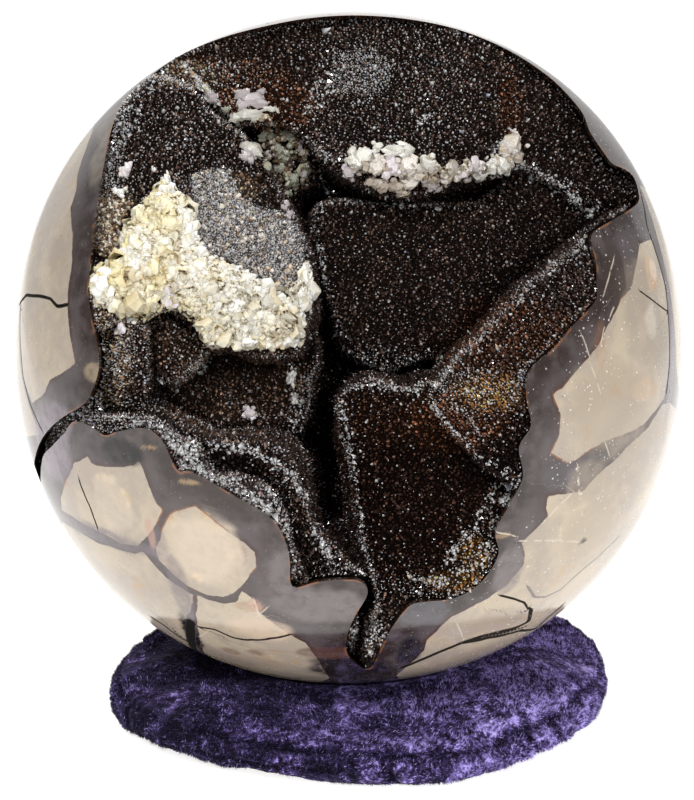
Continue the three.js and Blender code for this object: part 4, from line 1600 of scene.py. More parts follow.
@dataclass
class DruseColours:
    """The druse's colour, with painted shade in its clefts, and its glitter over the hollow, which partly
    stands in for painted glints.
    """

    brown: Colour = (0.030, 0.0185, 0.0145)
    grey: Colour = (0.27, 0.25, 0.255)
    tan: Colour = (0.26, 0.17, 0.10)
    cleft_painted_shade: float = 0.55
    cleft_bareness: float = 0.85
    # tints of the pale crystals, which partly stand in for painted glints
    glints: Array = field(default_factory=lambda: np.array([
        [0.74, 0.69, 0.70], [0.62, 0.58, 0.66], [0.72, 0.64, 0.56], [0.50, 0.52, 0.66], [0.40, 0.30, 0.24],
    ]))
    tints: Tints = (
        # painted light: the shadowed ledge and the ground by the knob are tinted a lighter brown, standing
        # in for light that reaches them
        ((0.090, 0.054, 0.038), (Patch(-24, -9, 14, 9, 0.9), Patch(-36, 1, 8, 8, 0.7))),
        ((0.15, 0.115, 0.11), (
            Patch(-41, -18.5, 6, 2.5, 0.7), Patch(-38, -24, 5, 2.5, 0.6), Patch(-33, -26, 3.5, 2.5, 0.8),
            Patch(-26.5, -28, 4, 2.5, 0.8), Patch(-20, -31, 3.5, 3, 0.8), Patch(-15.5, -37, 2.6, 4, 0.8),
            Patch(-13, -44, 2, 4, 0.8),
        )),
        ((0.016, 0.0075, 0.005), (Patch(18, -32, 22, 26, 0.9), Patch(0, -25, 8, 22, 0.8))),
        ((0.060, 0.024, 0.012), (
            Patch(22, -15, 9, 7, 0.8), Patch(32, 0, 14, 10, 0.6), Patch(6, -15, 9, 5, 0.25),
            Patch(-18, 54, 12, 7, 0.9), Patch(35, 52, 3, 9, 0.8), Patch(-28, 60, 12, 5, 0.6),
        )),
        ((0.22, 0.10, 0.025), (
            Patch(28, -9, 7, 4, 0.55), Patch(26, -43, 3, 4, 0.5), Patch(22, -49, 6, 2, 0.5),
        )),
        ((0.20, 0.13, 0.08), (
            Patch(-50, 0, 5, 13, 0.9), Patch(-36, 60, 8, 3, 0.6), Patch(-25, 34, 5, 4, 0.6),
            Patch(-52, 30, 3, 5, 0.6),
        )),
    )
    glitter: tuple[Patch, ...] = (
        Patch(-36, 42, 16, 18, 0.4),
        # the boss's upper left, where crowded pale crystals paint its highlight
        Patch(2, 60, 7, 5, 3.0),
        Patch(8, 56, 20, 16, 0.5),
        Patch(-30, 60, 16, 4, 0.8),
        Patch(-50, 2, 6, 12, 1.4),
        Patch(-36, 1, 9, 9, 0.4),
        Patch(-52, -14, 14, 4, 1.2),
        Patch(-33, -18, 8, 3, 1.0),
        Patch(-15, -33, 4, 7, 1.2),
        Patch(26, -43, 5, 6, 0.8),
        Patch(16, -50, 9, 2.5, 0.9),
        Patch(26, -9, 10, 5, 0.8),
        Patch(-51, 42, 3, 12, 2.0),
        Patch(-9, -8, 4, 6, 0.8),
        Patch(8, -3, 12, 3, 1.0),
        Patch(15, -28, 13, 20, -0.32),
    )

    def at(self, points: Array, hollow: Hollow) -> Array:
        """The colour at face points: brown, turned to other tints by soft patches, and darkened in clefts as
        painted shade.

        Args:
            points: face points on the crust.
            hollow: the hollow whose clefts are dark.

        Returns:
            One colour for each point.
        """
        x, y, _ = points.T
        cloud = NOISE.fractal(points, 7.0, 3)
        colour = np.tile(self.brown, (len(points), 1)) * (1 + 0.5 * cloud[:, None])
        for tint, patches in self.tints:
            for patch in patches:
                colour = tinted(colour, tint, patch.share(x, y, 0.4 * cloud))
        for tint, outline in ((self.grey, GREY_PATCH), (self.tan, TAN_PATCH)):
            depth = signed_distance(x, y, rounded(outline)) + 1.5 * cloud
            colour = tinted(colour, tint, smooth_step(depth, -0.8, 0.8))
        # painted shade: the colour is darkened where points lie deep in a cleft
        return colour * (1 - self.cleft_painted_shade * hollow.gloom(points)[:, None])

    def density(self, points: Array, hollow: Hollow) -> Array:
        """White crystals, which partly stand in for painted glints, on each square millimetre: few on the
        tops, more in patches and along edges.

        Args:
            points: face points on the crust.
            hollow: the hollow whose blocks have the edges.

        Returns:
            One density for each point.
        """
        x, y, _ = points.T
        cloud = NOISE.fractal(points, 6.0, 2)
        density = 0.18 + sum(patch.share(x, y, 0.5 * cloud) for patch in self.glitter) * 0.4
        grey = smooth_step(signed_distance(x, y, rounded(GREY_PATCH)), -0.5, 0.8)
        density += 2.2 * grey + 0.9 * hollow.edges(points, 0.8) * np.clip(0.7 + 1.6 * cloud, 0.1, 1.8)
        rim = smooth_step(hollow.inside(x, y), 1.6, 0.6)
        density += 1.0 * rim * np.clip(0.4 + 1.8 * cloud, 0, 1.5)
        return np.maximum(density, 0.02) * (1 - self.cleft_bareness * hollow.gloom(points))


@dataclass
class CrystalCrust:
    """The hollow's druse: an uneven floor, covered all over by small pointed crystals."""

    hollow: Hollow
    cell: float = 0.55
    left: float = -76.0
    right: float = 68.0
    low: float = -74.0
    high: float = 78.0
    margin: float = 0.4
    farthest: float = 74.2
    crystals: int = 47500
    crystal_size: float = 0.36
    glints: int = 22000
    glint_size: float = 0.18
    glint_lift: float = 0.3
    floor_painted_shade: float = 0.16
    seed: int = 3

    def floor(self) -> Surface:
        """The hollow's height on a square grid, cut just outside the rim and inside the silhouette."""
        across = np.arange(self.left, self.right, self.cell)
        upward = np.arange(self.low, self.high, self.cell)
        x, y = (grid.ravel() for grid in np.meshgrid(across, upward))
        inside = self.hollow.inside(x, y)
        height = np.zeros_like(x)
        near = inside > -3
        height[near] = self.hollow.height(x[near], y[near])
        triangles = Surface.grid(len(across), len(upward))
        triangles = triangles[near[triangles].all(axis=1)]
        surface = Surface(np.stack([x, y, height], axis=1), triangles, {"inside": inside}).trimmed()
        reach = self.farthest - np.hypot(surface.points[:, 0], surface.points[:, 1])
        return surface.clipped(np.minimum(surface.layers["inside"] + self.margin, reach))

    def build(self) -> None:
        """Makes the floor, its dark crystals and the bright ones."""
        rng = np.random.default_rng(self.seed)
        colours = DruseColours()
        floor = self.floor()
        # painted shade: the floor between the crystals takes the druse's colour, darkened
        floor.layers["shade"] = colours.at(floor.points, self.hollow) * self.floor_painted_shade
        base = floor.build("crust_floor", DruseFinish("druse_floor", 0.6, 0.02).make(), True)
        keep(base, Slot.DRUSE, "crystal_crust")

        foot, lean = self.places(floor, self.crystals, rng)
        size = self.crystal_size * rng.lognormal(0, 0.25, self.crystals)
        shade = colours.at(foot, self.hollow) * rng.lognormal(0, 0.85, (self.crystals, 1))
        dark = spikes(foot, lean, size, size * rng.uniform(0.9, 1.9, self.crystals), rng, shade)
        druse = dark.build("druse_crystals", DruseFinish("druse_crystal").make(), False)
        keep(druse, Slot.DRUSE, "crystal_crust")

        # the bright crystals: pale crystals whose colour partly stands in for painted glints
        middle = floor.facets()[0]
        foot, lean = self.places(floor, self.glints, rng, colours.density(middle, self.hollow))
        size = self.glint_size * rng.lognormal(0, 0.42, self.glints)
        tint = colours.glints[rng.integers(0, len(colours.glints), self.glints)]
        shade = np.clip(tint * rng.lognormal(-0.05, 0.65, (self.glints, 1)), 0, 1)
        lifted = foot + self.glint_lift * unit(lean)
        light = spikes(lifted, lean, size, size * rng.uniform(0.9, 1.6, self.glints), rng, shade)
        light = joined([light, *(self.strewn(sparkle, rng) for sparkle in SPARKLES)])
        finish = DruseFinish("bright_crystal", roughness=0.08, specular=1.0, rough_spread=0.12)
        keep(light.build("bright_crystals", finish.make(), False), Slot.DRUSE, "crystal_crust")

    def strewn(self, sparkle: Sparkle, rng: np.random.Generator) -> Surface:
        """Larger crystals along one line, each set at random across it by a bell curve.

        Args:
            sparkle: the line, and how many crystals of which tint stand along it.
            rng: places, sizes and turns them.

        Returns:
            The crystals as one surface.
        """
        count = sparkle.count
        path = np.array(sparkle.path, float)
        run = np.concatenate([[0], np.cumsum(np.hypot(*np.diff(path, axis=0).T))])
        along = rng.uniform(0, run[-1], count)
        x, y = (
            np.interp(along, run, path[:, axis]) + rng.normal(0, sparkle.spread, count) for axis in (0, 1)
        )
        inside = (signed_distance(x, y, self.hollow.rim) > self.margin) & (np.hypot(x, y) < self.farthest)
        x, y = x[inside], y[inside]
        count = len(x)
        foot = np.stack([x, y, self.hollow.height(x, y)], axis=1)
        lean = np.array([0, 0, 1.0]) + rng.normal(0, 0.6, (count, 3))
        size = sparkle.size * rng.lognormal(0, 0.4, count)
        shade = np.array(sparkle.tint) * np.clip(rng.lognormal(-0.2, 0.6, (count, 1)), 0, 1)
        return spikes(foot, lean, size, size * rng.uniform(0.9, 1.7, count), rng, shade)

    def places(self, floor: Surface, count: int, rng: np.random.Generator, density: Array | float = 1.0
               ) -> tuple[Array, Array]:
        """Spreads crystals evenly over the floor, row by row, by its area times a density.

        Args:
            floor: the surface that they grow from.
            count: how many.
            rng: jitters them.
            density: how thick they stand on each triangle.

        Returns:
            Each crystal's foot and its leaning axis.
        """
        middle, normal, area = floor.facets()
        inside = floor.layers["inside"][floor.triangles].mean(axis=1)
        weight = np.where(inside > 0.25, area, 0) * density
        order = np.lexsort((middle[:, 0], np.round(middle[:, 1] / self.cell)))
        total = np.cumsum(weight[order])
        step = (np.arange(count) + rng.uniform(0.1, 0.9, count)) / count * total[-1]
        chosen = order[np.minimum(np.searchsorted(total, step), len(order) - 1)]
        mix = rng.dirichlet((2, 2, 2), count)
        foot = (floor.points[floor.triangles[chosen]] * mix[:, :, None]).sum(axis=1)
        return foot, normal[chosen] + rng.normal(0, 0.3, (count, 3))


SPIKE_SUNK = 0.35
# painted shade at each crystal's foot and a painted highlight at its tip
FOOT_PAINTED_SHADE = 0.08
TIP_PAINTED_HIGHLIGHT = 2.4
PALEST = 0.95


def spikes(foot: Array, lean: Array, size: Array, tall: Array, rng: np.random.Generator, shade: Array
           ) -> Surface:
    """Four-sided pyramids without a base, sunk a little, with painted shade at the foot and a painted
    highlight at the tip.

    Args:
        foot: the middle of each base.
        lean: each pyramid's axis, of any length.
        size: half of each base's diagonal.
        tall: each pyramid's height.
        rng: turns each base.
        shade: each pyramid's colour.

    Returns:
        The pyramids as one surface with the colour layer shade.
    """
    count = len(foot)
    axis = unit(lean)
    side = unit(np.cross(axis, rng.normal(size=(count, 3))))
    other = np.cross(axis, side)
    turn = np.arange(4) * math.pi / 2
    ring = (
        np.cos(turn)[None, :, None] * side[:, None] + np.sin(turn)[None, :, None] * other[:, None]
    ) * size[:, None, None]
    ring = foot[:, None] + ring - SPIKE_SUNK * size[:, None, None] * axis[:, None]
    tip = foot + tall[:, None] * axis
    points = np.concatenate([ring, tip[:, None]], axis=1).reshape(-1, 3)
    faces = np.array([[0, 1, 4], [1, 2, 4], [2, 3, 4], [3, 0, 4]])
    triangles = (np.arange(count)[:, None, None] * 5 + faces).reshape(-1, 3)
    # painted shade on the four foot corners, painted highlight at the tip
    painted_shading = np.array([FOOT_PAINTED_SHADE] * 4 + [TIP_PAINTED_HIGHLIGHT])
    colour = np.clip(shade[:, None] * painted_shading[None, :, None], 0, PALEST).reshape(-1, 3)
    return Surface(points, triangles, {"shade": colour})


def random_turns(count: int, rng: np.random.Generator, swing: float = math.pi, spinning: float = math.pi
                 ) -> Array:
    """Random rotation matrices: a spin about z and then a tilt any way.

    Args:
        count: how many.
        rng: draws their angles.
        swing: the largest tilt.
        spinning: the largest spin.

    Returns:
        One matrix for each.
    """
    spin, tilt, aim = rng.uniform(-1, 1, (3, count)) * np.array([[spinning], [swing], [math.pi]])
    zero, one = np.zeros(count), np.ones(count)

    def matrices(*rows: tuple[Array, Array, Array]) -> Array:
        """One matrix for each number, from the three rows."""
        return np.stack([np.stack(row, 1) for row in rows], 1)

    def about_z(angle: Array) -> Array:
        """Turns about z by each angle."""
        c, s = np.cos(angle), np.sin(angle)
        return matrices((c, -s, zero), (s, c, zero), (zero, zero, one))

    c, s = np.cos(tilt), np.sin(tilt)
    about_x = matrices((one, zero, zero), (zero, c, -s), (zero, s, c))
    return about_z(aim) @ about_x @ about_z(spin - aim)


@dataclass(frozen=True)
class LumpForm:
    """An irregular many-sided crystal: rings of corners under a blunt tip, with painted shade on its lower
    rings.
    """

    sides: int = 6
    levels: tuple[float, ...] = (-0.5, -0.1, 0.3)
    widths: tuple[float, ...] = (0.75, 1.0, 0.8)
    # painted shade for the rings, lowest first
    ring_painted_shade: tuple[Colour, ...] = ((0.80, 0.72, 0.56), (0.98, 0.96, 0.90), (1.0, 1.0, 1.0))
    tip: float = 0.55
    rough: float = 0.16

    def make(self, middle: Array, size: Array, shade: Array, rng: np.random.Generator,
             swing: float = math.pi, spinning: float = math.pi) -> Surface:
        """Makes one lump at each place.

        Args:
            middle: the lumps' middles.
            size: full width, depth and height of each.
            shade: the colour of each.
            rng: shapes and turns them.
            swing: how far a lump may tilt.
            spinning: how far it may turn about its own axis.

        Returns:
            All the lumps as one surface with the colour layer shade.
        """
        count, rings = len(middle), len(self.levels)
        turn = 2 * math.pi * np.arange(self.sides) / self.sides
        wide = 0.5 * np.array(self.widths)[None, :, None] * (
            1 + rng.normal(0, self.rough, (count, rings, self.sides))
        )
        level = np.array(self.levels)[None, :, None] + rng.normal(0, 0.06, (count, rings, self.sides))
        ring = np.stack([wide * np.cos(turn), wide * np.sin(turn), level], axis=3)
        tip = rng.normal(0, 0.08, (count, 1, 3)) + np.array([0, 0, self.tip])
        points = np.concatenate([ring.reshape(count, -1, 3), tip], axis=1) * size[:, None]
        turns = random_turns(count, rng, swing, spinning)
        points = np.einsum("nij,nkj->nki", turns, points) + middle[:, None]
        walls = Surface.grid(self.sides, rings, wrap=True)
        last = rings * self.sides
        top = last - self.sides + np.arange(self.sides)
        cap = np.stack([top, np.roll(top, -1), np.full(self.sides, last)], 1)
        faces = np.vstack([walls, cap])
        triangles = (np.arange(count)[:, None, None] * (last + 1) + faces).reshape(-1, 3)
        # painted shade: the lowest ring is darkened to a warm brown and the next a little, the tip keeps its
        # colour
        foot = np.vstack([np.repeat(self.ring_painted_shade, self.sides, axis=0), np.ones((1, 3))])
        colour = (shade[:, None] * foot[None]).reshape(-1, 3)
        return Surface(points.reshape(-1, 3), triangles, {"shade": colour})


@dataclass(frozen=True)
class Lump:
    """One large crystal: its place, width, height across the face, how thick it is, its tint and turn."""

    x: float
    y: float
    wide: float
    tall: float
    flat: float = 0.6
    tint: Colour = (0.62, 0.57, 0.52)
    turn: float = 0.0


WHITE: Colour = (1.0, 0.97, 0.88)
CREAM: Colour = (0.98, 0.90, 0.70)
PEARL: Colour = (0.90, 0.82, 0.74)
YELLOW: Colour = (0.92, 0.80, 0.46)
SMOKY: Colour = (0.50, 0.42, 0.34)
LILAC: Colour = (0.88, 0.79, 0.80)
GREEN: Colour = (0.62, 0.62, 0.50)
TAN: Colour = (0.66, 0.52, 0.36)
DARK_CRUMBS: tuple[Colour, ...] = ((0.05, 0.03, 0.02), (0.20, 0.12, 0.07))
CLEFT_PATCH: Points = (
    (-20, 48.5), (-16.5, 49.5), (-12, 48), (-10, 45.5), (-8.6, 40), (-9, 36), (-11, 34), (-13.5, 32.5),
    (-15.5, 33.5), (-17, 37), (-19, 41),
)


@dataclass(frozen=True)
class Crumbs:
    """Crumbs of mixed tints all over a patch."""

    patch: Points
    count: int
    width: float
    tints: tuple[Colour, ...]


TAN_CRUMBS = Crumbs(TAN_PATCH, 800, 0.55, (*DARK_CRUMBS, *DARK_CRUMBS, TAN, WHITE))
GREY_CRUMBS = Crumbs(GREY_PATCH, 750, 0.58, (*DARK_CRUMBS, SMOKY, TAN, PEARL))
CLEFT_CRUMBS = Crumbs(CLEFT_PATCH, 170, 1.3, (GREEN, SMOKY, (0.22, 0.22, 0.16), *DARK_CRUMBS))


@dataclass
class CalciteClusters:
    """The white, cream and clear calcite crystals grown on the druse."""

    hollow: Hollow
    grown: int = 6
    sizes: tuple[tuple[int, float], ...] = ((260, 2.2), (3550, 1.28))
    strewn: int = 260
    shelf_bright: float = 0.94
    clear_bright: float = 0.8
    shelf_path: Points = ((0, 39), (6, 39), (12, 38), (18, 37), (24, 38), (30, 38.5), (34, 41), (35.5, 44))
    shelf: tuple[Lump, ...] = (
        Lump(0.5, 42, 2.8, 2.4, 0.5, WHITE), Lump(3, 40.6, 5.6, 5.2, 0.5, WHITE),
        Lump(-0.2, 37.8, 3.6, 3.6, 0.5, LILAC), Lump(5.8, 43, 2.4, 2.6, 0.5, WHITE),
        Lump(9.5, 42.6, 7, 2.8, 0.6, WHITE, -5), Lump(12.6, 42.2, 3.4, 3, 0.5, WHITE, -30),
        Lump(6, 38.8, 4, 4.4, 0.5, PEARL), Lump(9, 38.8, 5, 4.6, 0.4, LILAC),
        Lump(12.2, 38.6, 4.6, 5, 0.4, PEARL), Lump(6.5, 35.4, 5.4, 3.4, 0.5, SMOKY, 15),
        Lump(9.8, 34.8, 4.4, 3.4, 0.5, SMOKY), Lump(13, 35.4, 4.4, 3.2, 0.5, PEARL),
        Lump(11.5, 33.2, 3, 1.6, 0.6, SMOKY), Lump(3.2, 34, 1.4, 1.2, 0.6, LILAC),
        Lump(16.9, 39.2, 4.4, 5, 0.45, WHITE, 10), Lump(17.6, 35.2, 4.2, 2.8, 0.5, LILAC),
        Lump(20.4, 36, 3, 2.6, 0.5, PEARL), Lump(22, 38.6, 3, 3.4, 0.5, PEARL, 20),
        Lump(24.4, 37.6, 4, 3.2, 0.5, LILAC), Lump(26.8, 39.6, 2.8, 4.4, 0.5, LILAC, 10),
        Lump(28.2, 37.6, 4.6, 3.4, 0.5, WHITE, 15), Lump(30.4, 38.8, 4, 4, 0.5, WHITE),
        Lump(33.2, 39.4, 4.2, 5.2, 0.5, WHITE), Lump(34.4, 42.2, 3, 5.4, 0.5, WHITE, -35),
        Lump(36, 45.4, 2, 4.6, 0.5, LILAC, 12),
    )
    clear: tuple[Lump, ...] = (
        Lump(-24, 55.6, 1.7, 4.0, 0.5, WHITE, -45), Lump(-21.2, 54.2, 6.2, 4.6, 0.5, LILAC, 10),
        Lump(-23.2, 53, 2.6, 4.6, 0.5, LILAC, -50), Lump(-21.8, 50.8, 7, 3.2, 0.5, WHITE),
        Lump(-25, 50.2, 2.4, 3, 0.5, WHITE), Lump(-17.6, 52, 4.6, 1.5, 0.6, WHITE, -22),
        Lump(-18.4, 50.2, 2.4, 1.6, 0.6, TAN), Lump(-17, 49.2, 2.2, 2, 0.6, CREAM),
        Lump(-27, 51.8, 2, 1.8, 0.6, GREEN), Lump(-27, 50.4, 1, 0.8, 0.6, WHITE),
        Lump(-30, 54.6, 2.4, 2.6, 0.5, LILAC), Lump(-31, 55.8, 1.4, 1.2, 0.5, LILAC),
        Lump(-21.4, 42.6, 4.6, 5.6, 0.4, WHITE, 25), Lump(-22.2, 41.4, 3.6, 3.4, 0.4, LILAC),
        Lump(-23, 46.4, 1.3, 3.2, 0.6, CREAM, 20), Lump(-18.9, 46.4, 3.2, 2, 0.6, GREEN),
        Lump(-13.6, 46.8, 3.6, 2.4, 0.6, GREEN), Lump(-11.2, 44.4, 2.2, 2.8, 0.6, LILAC, 20),
        Lump(-14.7, 42.7, 3.8, 3.6, 0.5, GREEN, 30), Lump(-17.6, 42.3, 1.8, 1.9, 0.6, LILAC),
        Lump(-10.1, 38.5, 2.4, 3.8, 0.6, LILAC, 10), Lump(-15.2, 39.4, 2.6, 2.4, 0.6, GREEN),
        Lump(-13.2, 40, 2.2, 2, 0.6, SMOKY), Lump(-12.6, 37.2, 2.4, 2.8, 0.6, GREEN),
        Lump(-15.6, 37, 2.2, 2, 0.6, SMOKY), Lump(-13.9, 33.9, 2, 1.8, 0.6, GREEN),
        Lump(-13.9, 31, 2, 2.8, 0.6, LILAC), Lump(-13, 28.6, 1.8, 2.6, 0.6, LILAC),
    )
    loose: tuple[Lump, ...] = (
        Lump(-52, 12.8, 4.6, 6.4, 0.5, WHITE, 5), Lump(-50.6, 17.2, 3.4, 2.8, 0.5, WHITE),
        Lump(-46.4, 22.4, 3.6, 5, 0.5, YELLOW), Lump(-42, 10.6, 3.6, 6.6, 0.5, YELLOW, -25),
        Lump(-38.2, 10.8, 4.4, 5.4, 0.4, LILAC), Lump(-24.6, 4, 10.6, 3.6, 0.35, WHITE, 27),
        Lump(-21.5, 1.2, 4.4, 3, 0.6, WHITE), Lump(-17, 0.8, 2.8, 2.8, 0.6, CREAM),
        Lump(-12.6, 1.8, 3.2, 3.6, 0.6, WHITE), Lump(-9.5, 13.4, 2.4, 7.4, 0.5, WHITE),
        Lump(-39, 35.4, 2, 4.4, 0.6, WHITE, 8), Lump(-39.2, 33, 5, 3.4, 0.5, WHITE),
        Lump(-34.6, 24.5, 4.6, 5.6, 0.4, WHITE), Lump(-49, 33, 3, 2.2, 0.5, WHITE),
        Lump(-48.3, 37.4, 2.4, 4, 0.4, LILAC), Lump(-42, 38, 1.2, 1.4, 0.6, WHITE),
        Lump(-48, 4, 2.6, 3.8, 0.5, LILAC), Lump(-46, 5.8, 2.4, 1.8, 0.5, WHITE),
        Lump(-21.6, -14.3, 3.2, 3.2, 0.6, LILAC), Lump(-12.8, -7, 1.8, 3.4, 0.5, WHITE),
        Lump(-12.2, -11, 1.6, 2.4, 0.5, WHITE),
    )

    def build(self) -> None:
        """Makes the cream mass, the shelf and the clear groups."""
        rng = np.random.default_rng(5)
        form = LumpForm()
        cream = joined([
            *(self.mass(form, rng, count, width) for count, width in self.sizes),
            self.sugar(TAN_CRUMBS, form, rng),
            self.placed(self.loose, form, rng),
            self.sugar(GREY_CRUMBS, form, rng),
        ])
        piece = cream.build("cream_calcite", CalciteFinish("cream_calcite", 0.0, 0.45).make(), False)
        keep(piece, Slot.DRUSE, "crystal_crust")
        shelf = joined([self.placed(self.shelf, form, rng, self.shelf_bright), self.sprinkled(form, rng)])
        finish = CalciteFinish("shelf_calcite", 0.25, 0.2, 0.25)
        keep(shelf.build("calcite_shelf", finish.make(), False), Slot.DRUSE, "crystal_crust")
        finish = CalciteFinish("clear_calcite", 0.4, 0.0, 0.15)
        clear = joined([
            self.placed(self.clear, form, rng, self.clear_bright),
            self.sugar(CLEFT_CRUMBS, form, rng),
        ])
        keep(clear.build("clear_calcite", finish.make(), False), Slot.DRUSE, "crystal_crust")

    def mass(self, form: LumpForm, rng: np.random.Generator, count: int, width: float) -> Surface:
        """Crystals all over the cream mass: white above, cream below, yellow and dull in patches.

        Args:
            form: the crystals' form.
            rng: places, sizes and turns them.
            count: how many.
            width: how wide they are on the whole.

        Returns:
            The crystals as one surface.
        """
        outline = rounded(CREAM_PATCH) - np.array([0, 0.6])
        low, high = outline.min(axis=0), outline.max(axis=0)
        x, y = rng.uniform(low, high, (4 * count, 2)).T
        depth = signed_distance(x, y, outline)
        x, y, depth = (values[depth > 0.3 * width - 0.5][:count] for values in (x, y, depth))
        spot = flat_points(x, y, 3.0)
        lift = smooth_step(depth, -0.5, 4.0) * (1.3 + 1.4 * NOISE.fractal(spot, 7.0, 2))
        z = self.hollow.height(x, y) + lift * rng.uniform(0.7, 1.0, len(x)) + 0.35 - 0.25 * width
        size = width * rng.lognormal(0, 0.38, len(x))[:, None] * rng.uniform(
            [0.7, 0.7, 0.5], [1.2, 1.2, 0.9], (len(x), 3)
        )
        cloud = NOISE.fractal(spot + 9.0, 6.0, 2)
        yellow = 0.9 * smooth_step(-x - 0.3 * y + 8 * cloud, 22, 38) * smooth_step(cloud, -0.4, 0.3)
        dull = smooth_step(NOISE.fractal(spot + 21.0, 4.0, 2), 0.15, 0.6)
        dull = np.maximum(0.3 * dull, 0.6 * smooth_step(x - 2 * y + 12 * cloud, -30, -12))
        cream = smooth_step(12 - y - 0.3 * x + 6 * cloud, 4, 18)
        shade = np.tile(WHITE, (len(x), 1))
        for tint, share in ((CREAM, 0.8 * cream), (YELLOW, 0.8 * yellow), (TAN, 0.75 * dull)):
            shade = tinted(shade, tint, share)
        low = smooth_step(y, 17, 7)
        shade = shade * rng.uniform(0.94 - 0.42 * low - 0.1 * yellow, 1.04)[:, None]
        return form.make(np.stack([x, y, z], 1), size, shade, rng)

    def sugar(self, crumbs: Crumbs, form: LumpForm, rng: np.random.Generator) -> Surface:
        """Strews the crumbs over their patch.

        Args:
            crumbs: the patch, and how many crumbs of which width and tints lie on it.
            form: the crumbs' form.
            rng: places, sizes and turns them.

        Returns:
            The crumbs as one surface.
        """
        outline = rounded(crumbs.patch)
        x, y = rng.uniform(outline.min(axis=0), outline.max(axis=0), (4 * crumbs.count, 2)).T
        inside = signed_distance(x, y, outline) > 0.2
        x, y = x[inside][:crumbs.count], y[inside][:crumbs.count]
        z = self.hollow.height(x, y) + rng.uniform(0, 0.5, len(x)) * crumbs.width
        size = crumbs.width * rng.lognormal(0, 0.35, (len(x), 1)) * rng.uniform(0.6, 1.2, (len(x), 3))
        shade = np.array(crumbs.tints)[rng.integers(0, len(crumbs.tints), len(x))]
        return form.make(np.stack([x, y, z], 1), size, shade, rng)

    def placed(self, lumps: tuple[Lump, ...], form: LumpForm, rng: np.random.Generator,
               bright: float = 1.0) -> Surface:
        """Large crystals at their own places, each with smaller ones grown into it.

        Args:
            lumps: the large crystals.
            form: the form of all of them.
            rng: shapes and turns them.
            bright: what their tints are multiplied by.

        Returns:
            The crystals as one surface.
        """
        group = self.grown + 1
        rows = np.array([[lump.x, lump.y, lump.wide, lump.tall, lump.flat, lump.turn] for lump in lumps])
        tint = np.repeat([lump.tint for lump in lumps], group, axis=0)
        rows = np.repeat(rows, group, axis=0)
        small = np.arange(len(rows)) % group > 0
        x, y, wide, tall, flat, turn = rows.T
        share = np.where(small, rng.uniform(0.3, 0.6, len(rows)), 0.85)
        x = x + np.where(small, rng.uniform(-0.42, 0.42, len(rows)) * wide, 0)
        y = y + np.where(small, rng.uniform(-0.42, 0.42, len(rows)) * tall, 0)
        size = np.stack([wide, tall, flat * np.minimum(wide, tall) * 1.6], 1) * share[:, None]
        lift = np.where(small, 0.35 * flat * np.minimum(wide, tall), 0.2 * size[:, 2])
        z = self.hollow.height(x, y) + lift
        shade = tint * bright * rng.uniform(0.8, 1.1, (len(rows), 1))
        turned = form.make(np.zeros_like(size), size, shade, rng, 0.5, 0.3)
        spin = np.radians(turn) + np.where(small, rng.uniform(-0.8, 0.8, len(rows)), 0)
        corners = turned.points.reshape(len(rows), -1, 3)
        cos, sin = np.cos(spin)[:, None], np.sin(spin)[:, None]
        px, py, pz = corners.transpose(2, 0, 1)
        moved = np.stack([px * cos - py * sin, px * sin + py * cos, pz], 2) + np.stack([x, y, z], 1)[:, None]
        return Surface(moved.reshape(-1, 3), turned.triangles, turned.layers)

    def sprinkled(self, form: LumpForm, rng: np.random.Generator) -> Surface:
        """Small crystals strewn along the shelf.

        Args:
            form: the crystals' form.
            rng: places, sizes and turns them.

        Returns:
            The crystals as one surface.
        """
        count = self.strewn
        path = rounded(self.shelf_path, 20, closed=False)
        x, y = (path[rng.integers(0, len(path), count)] + rng.normal(0, 1.1, (count, 2))).T
        z = self.hollow.height(x, y) + rng.uniform(0, 1.2, count)
        size = rng.lognormal(math.log(1.4), 0.35, (count, 1)) * rng.uniform(0.6, 1.1, (count, 3))
        shade = np.array(PEARL) * rng.uniform(0.5, 1.05, (count, 1))
        return form.make(np.stack([x, y, z], 1), size, shade, rng)


def joined(parts: list[Surface]) -> Surface:
    """Several surfaces as one, each still its own shell.

    Args:
        parts: the surfaces, all with the same layers.

    Returns:
        The one surface.
    """
    start = np.cumsum([0] + [len(part.points) for part in parts[:-1]])
    triangles = np.vstack([part.triangles + first for part, first in zip(parts, start)])
    layers = {name: np.concatenate([part.layers[name] for part in parts]) for name in parts[0].layers}
    return Surface(np.vstack([part.points for part in parts]), triangles, layers)


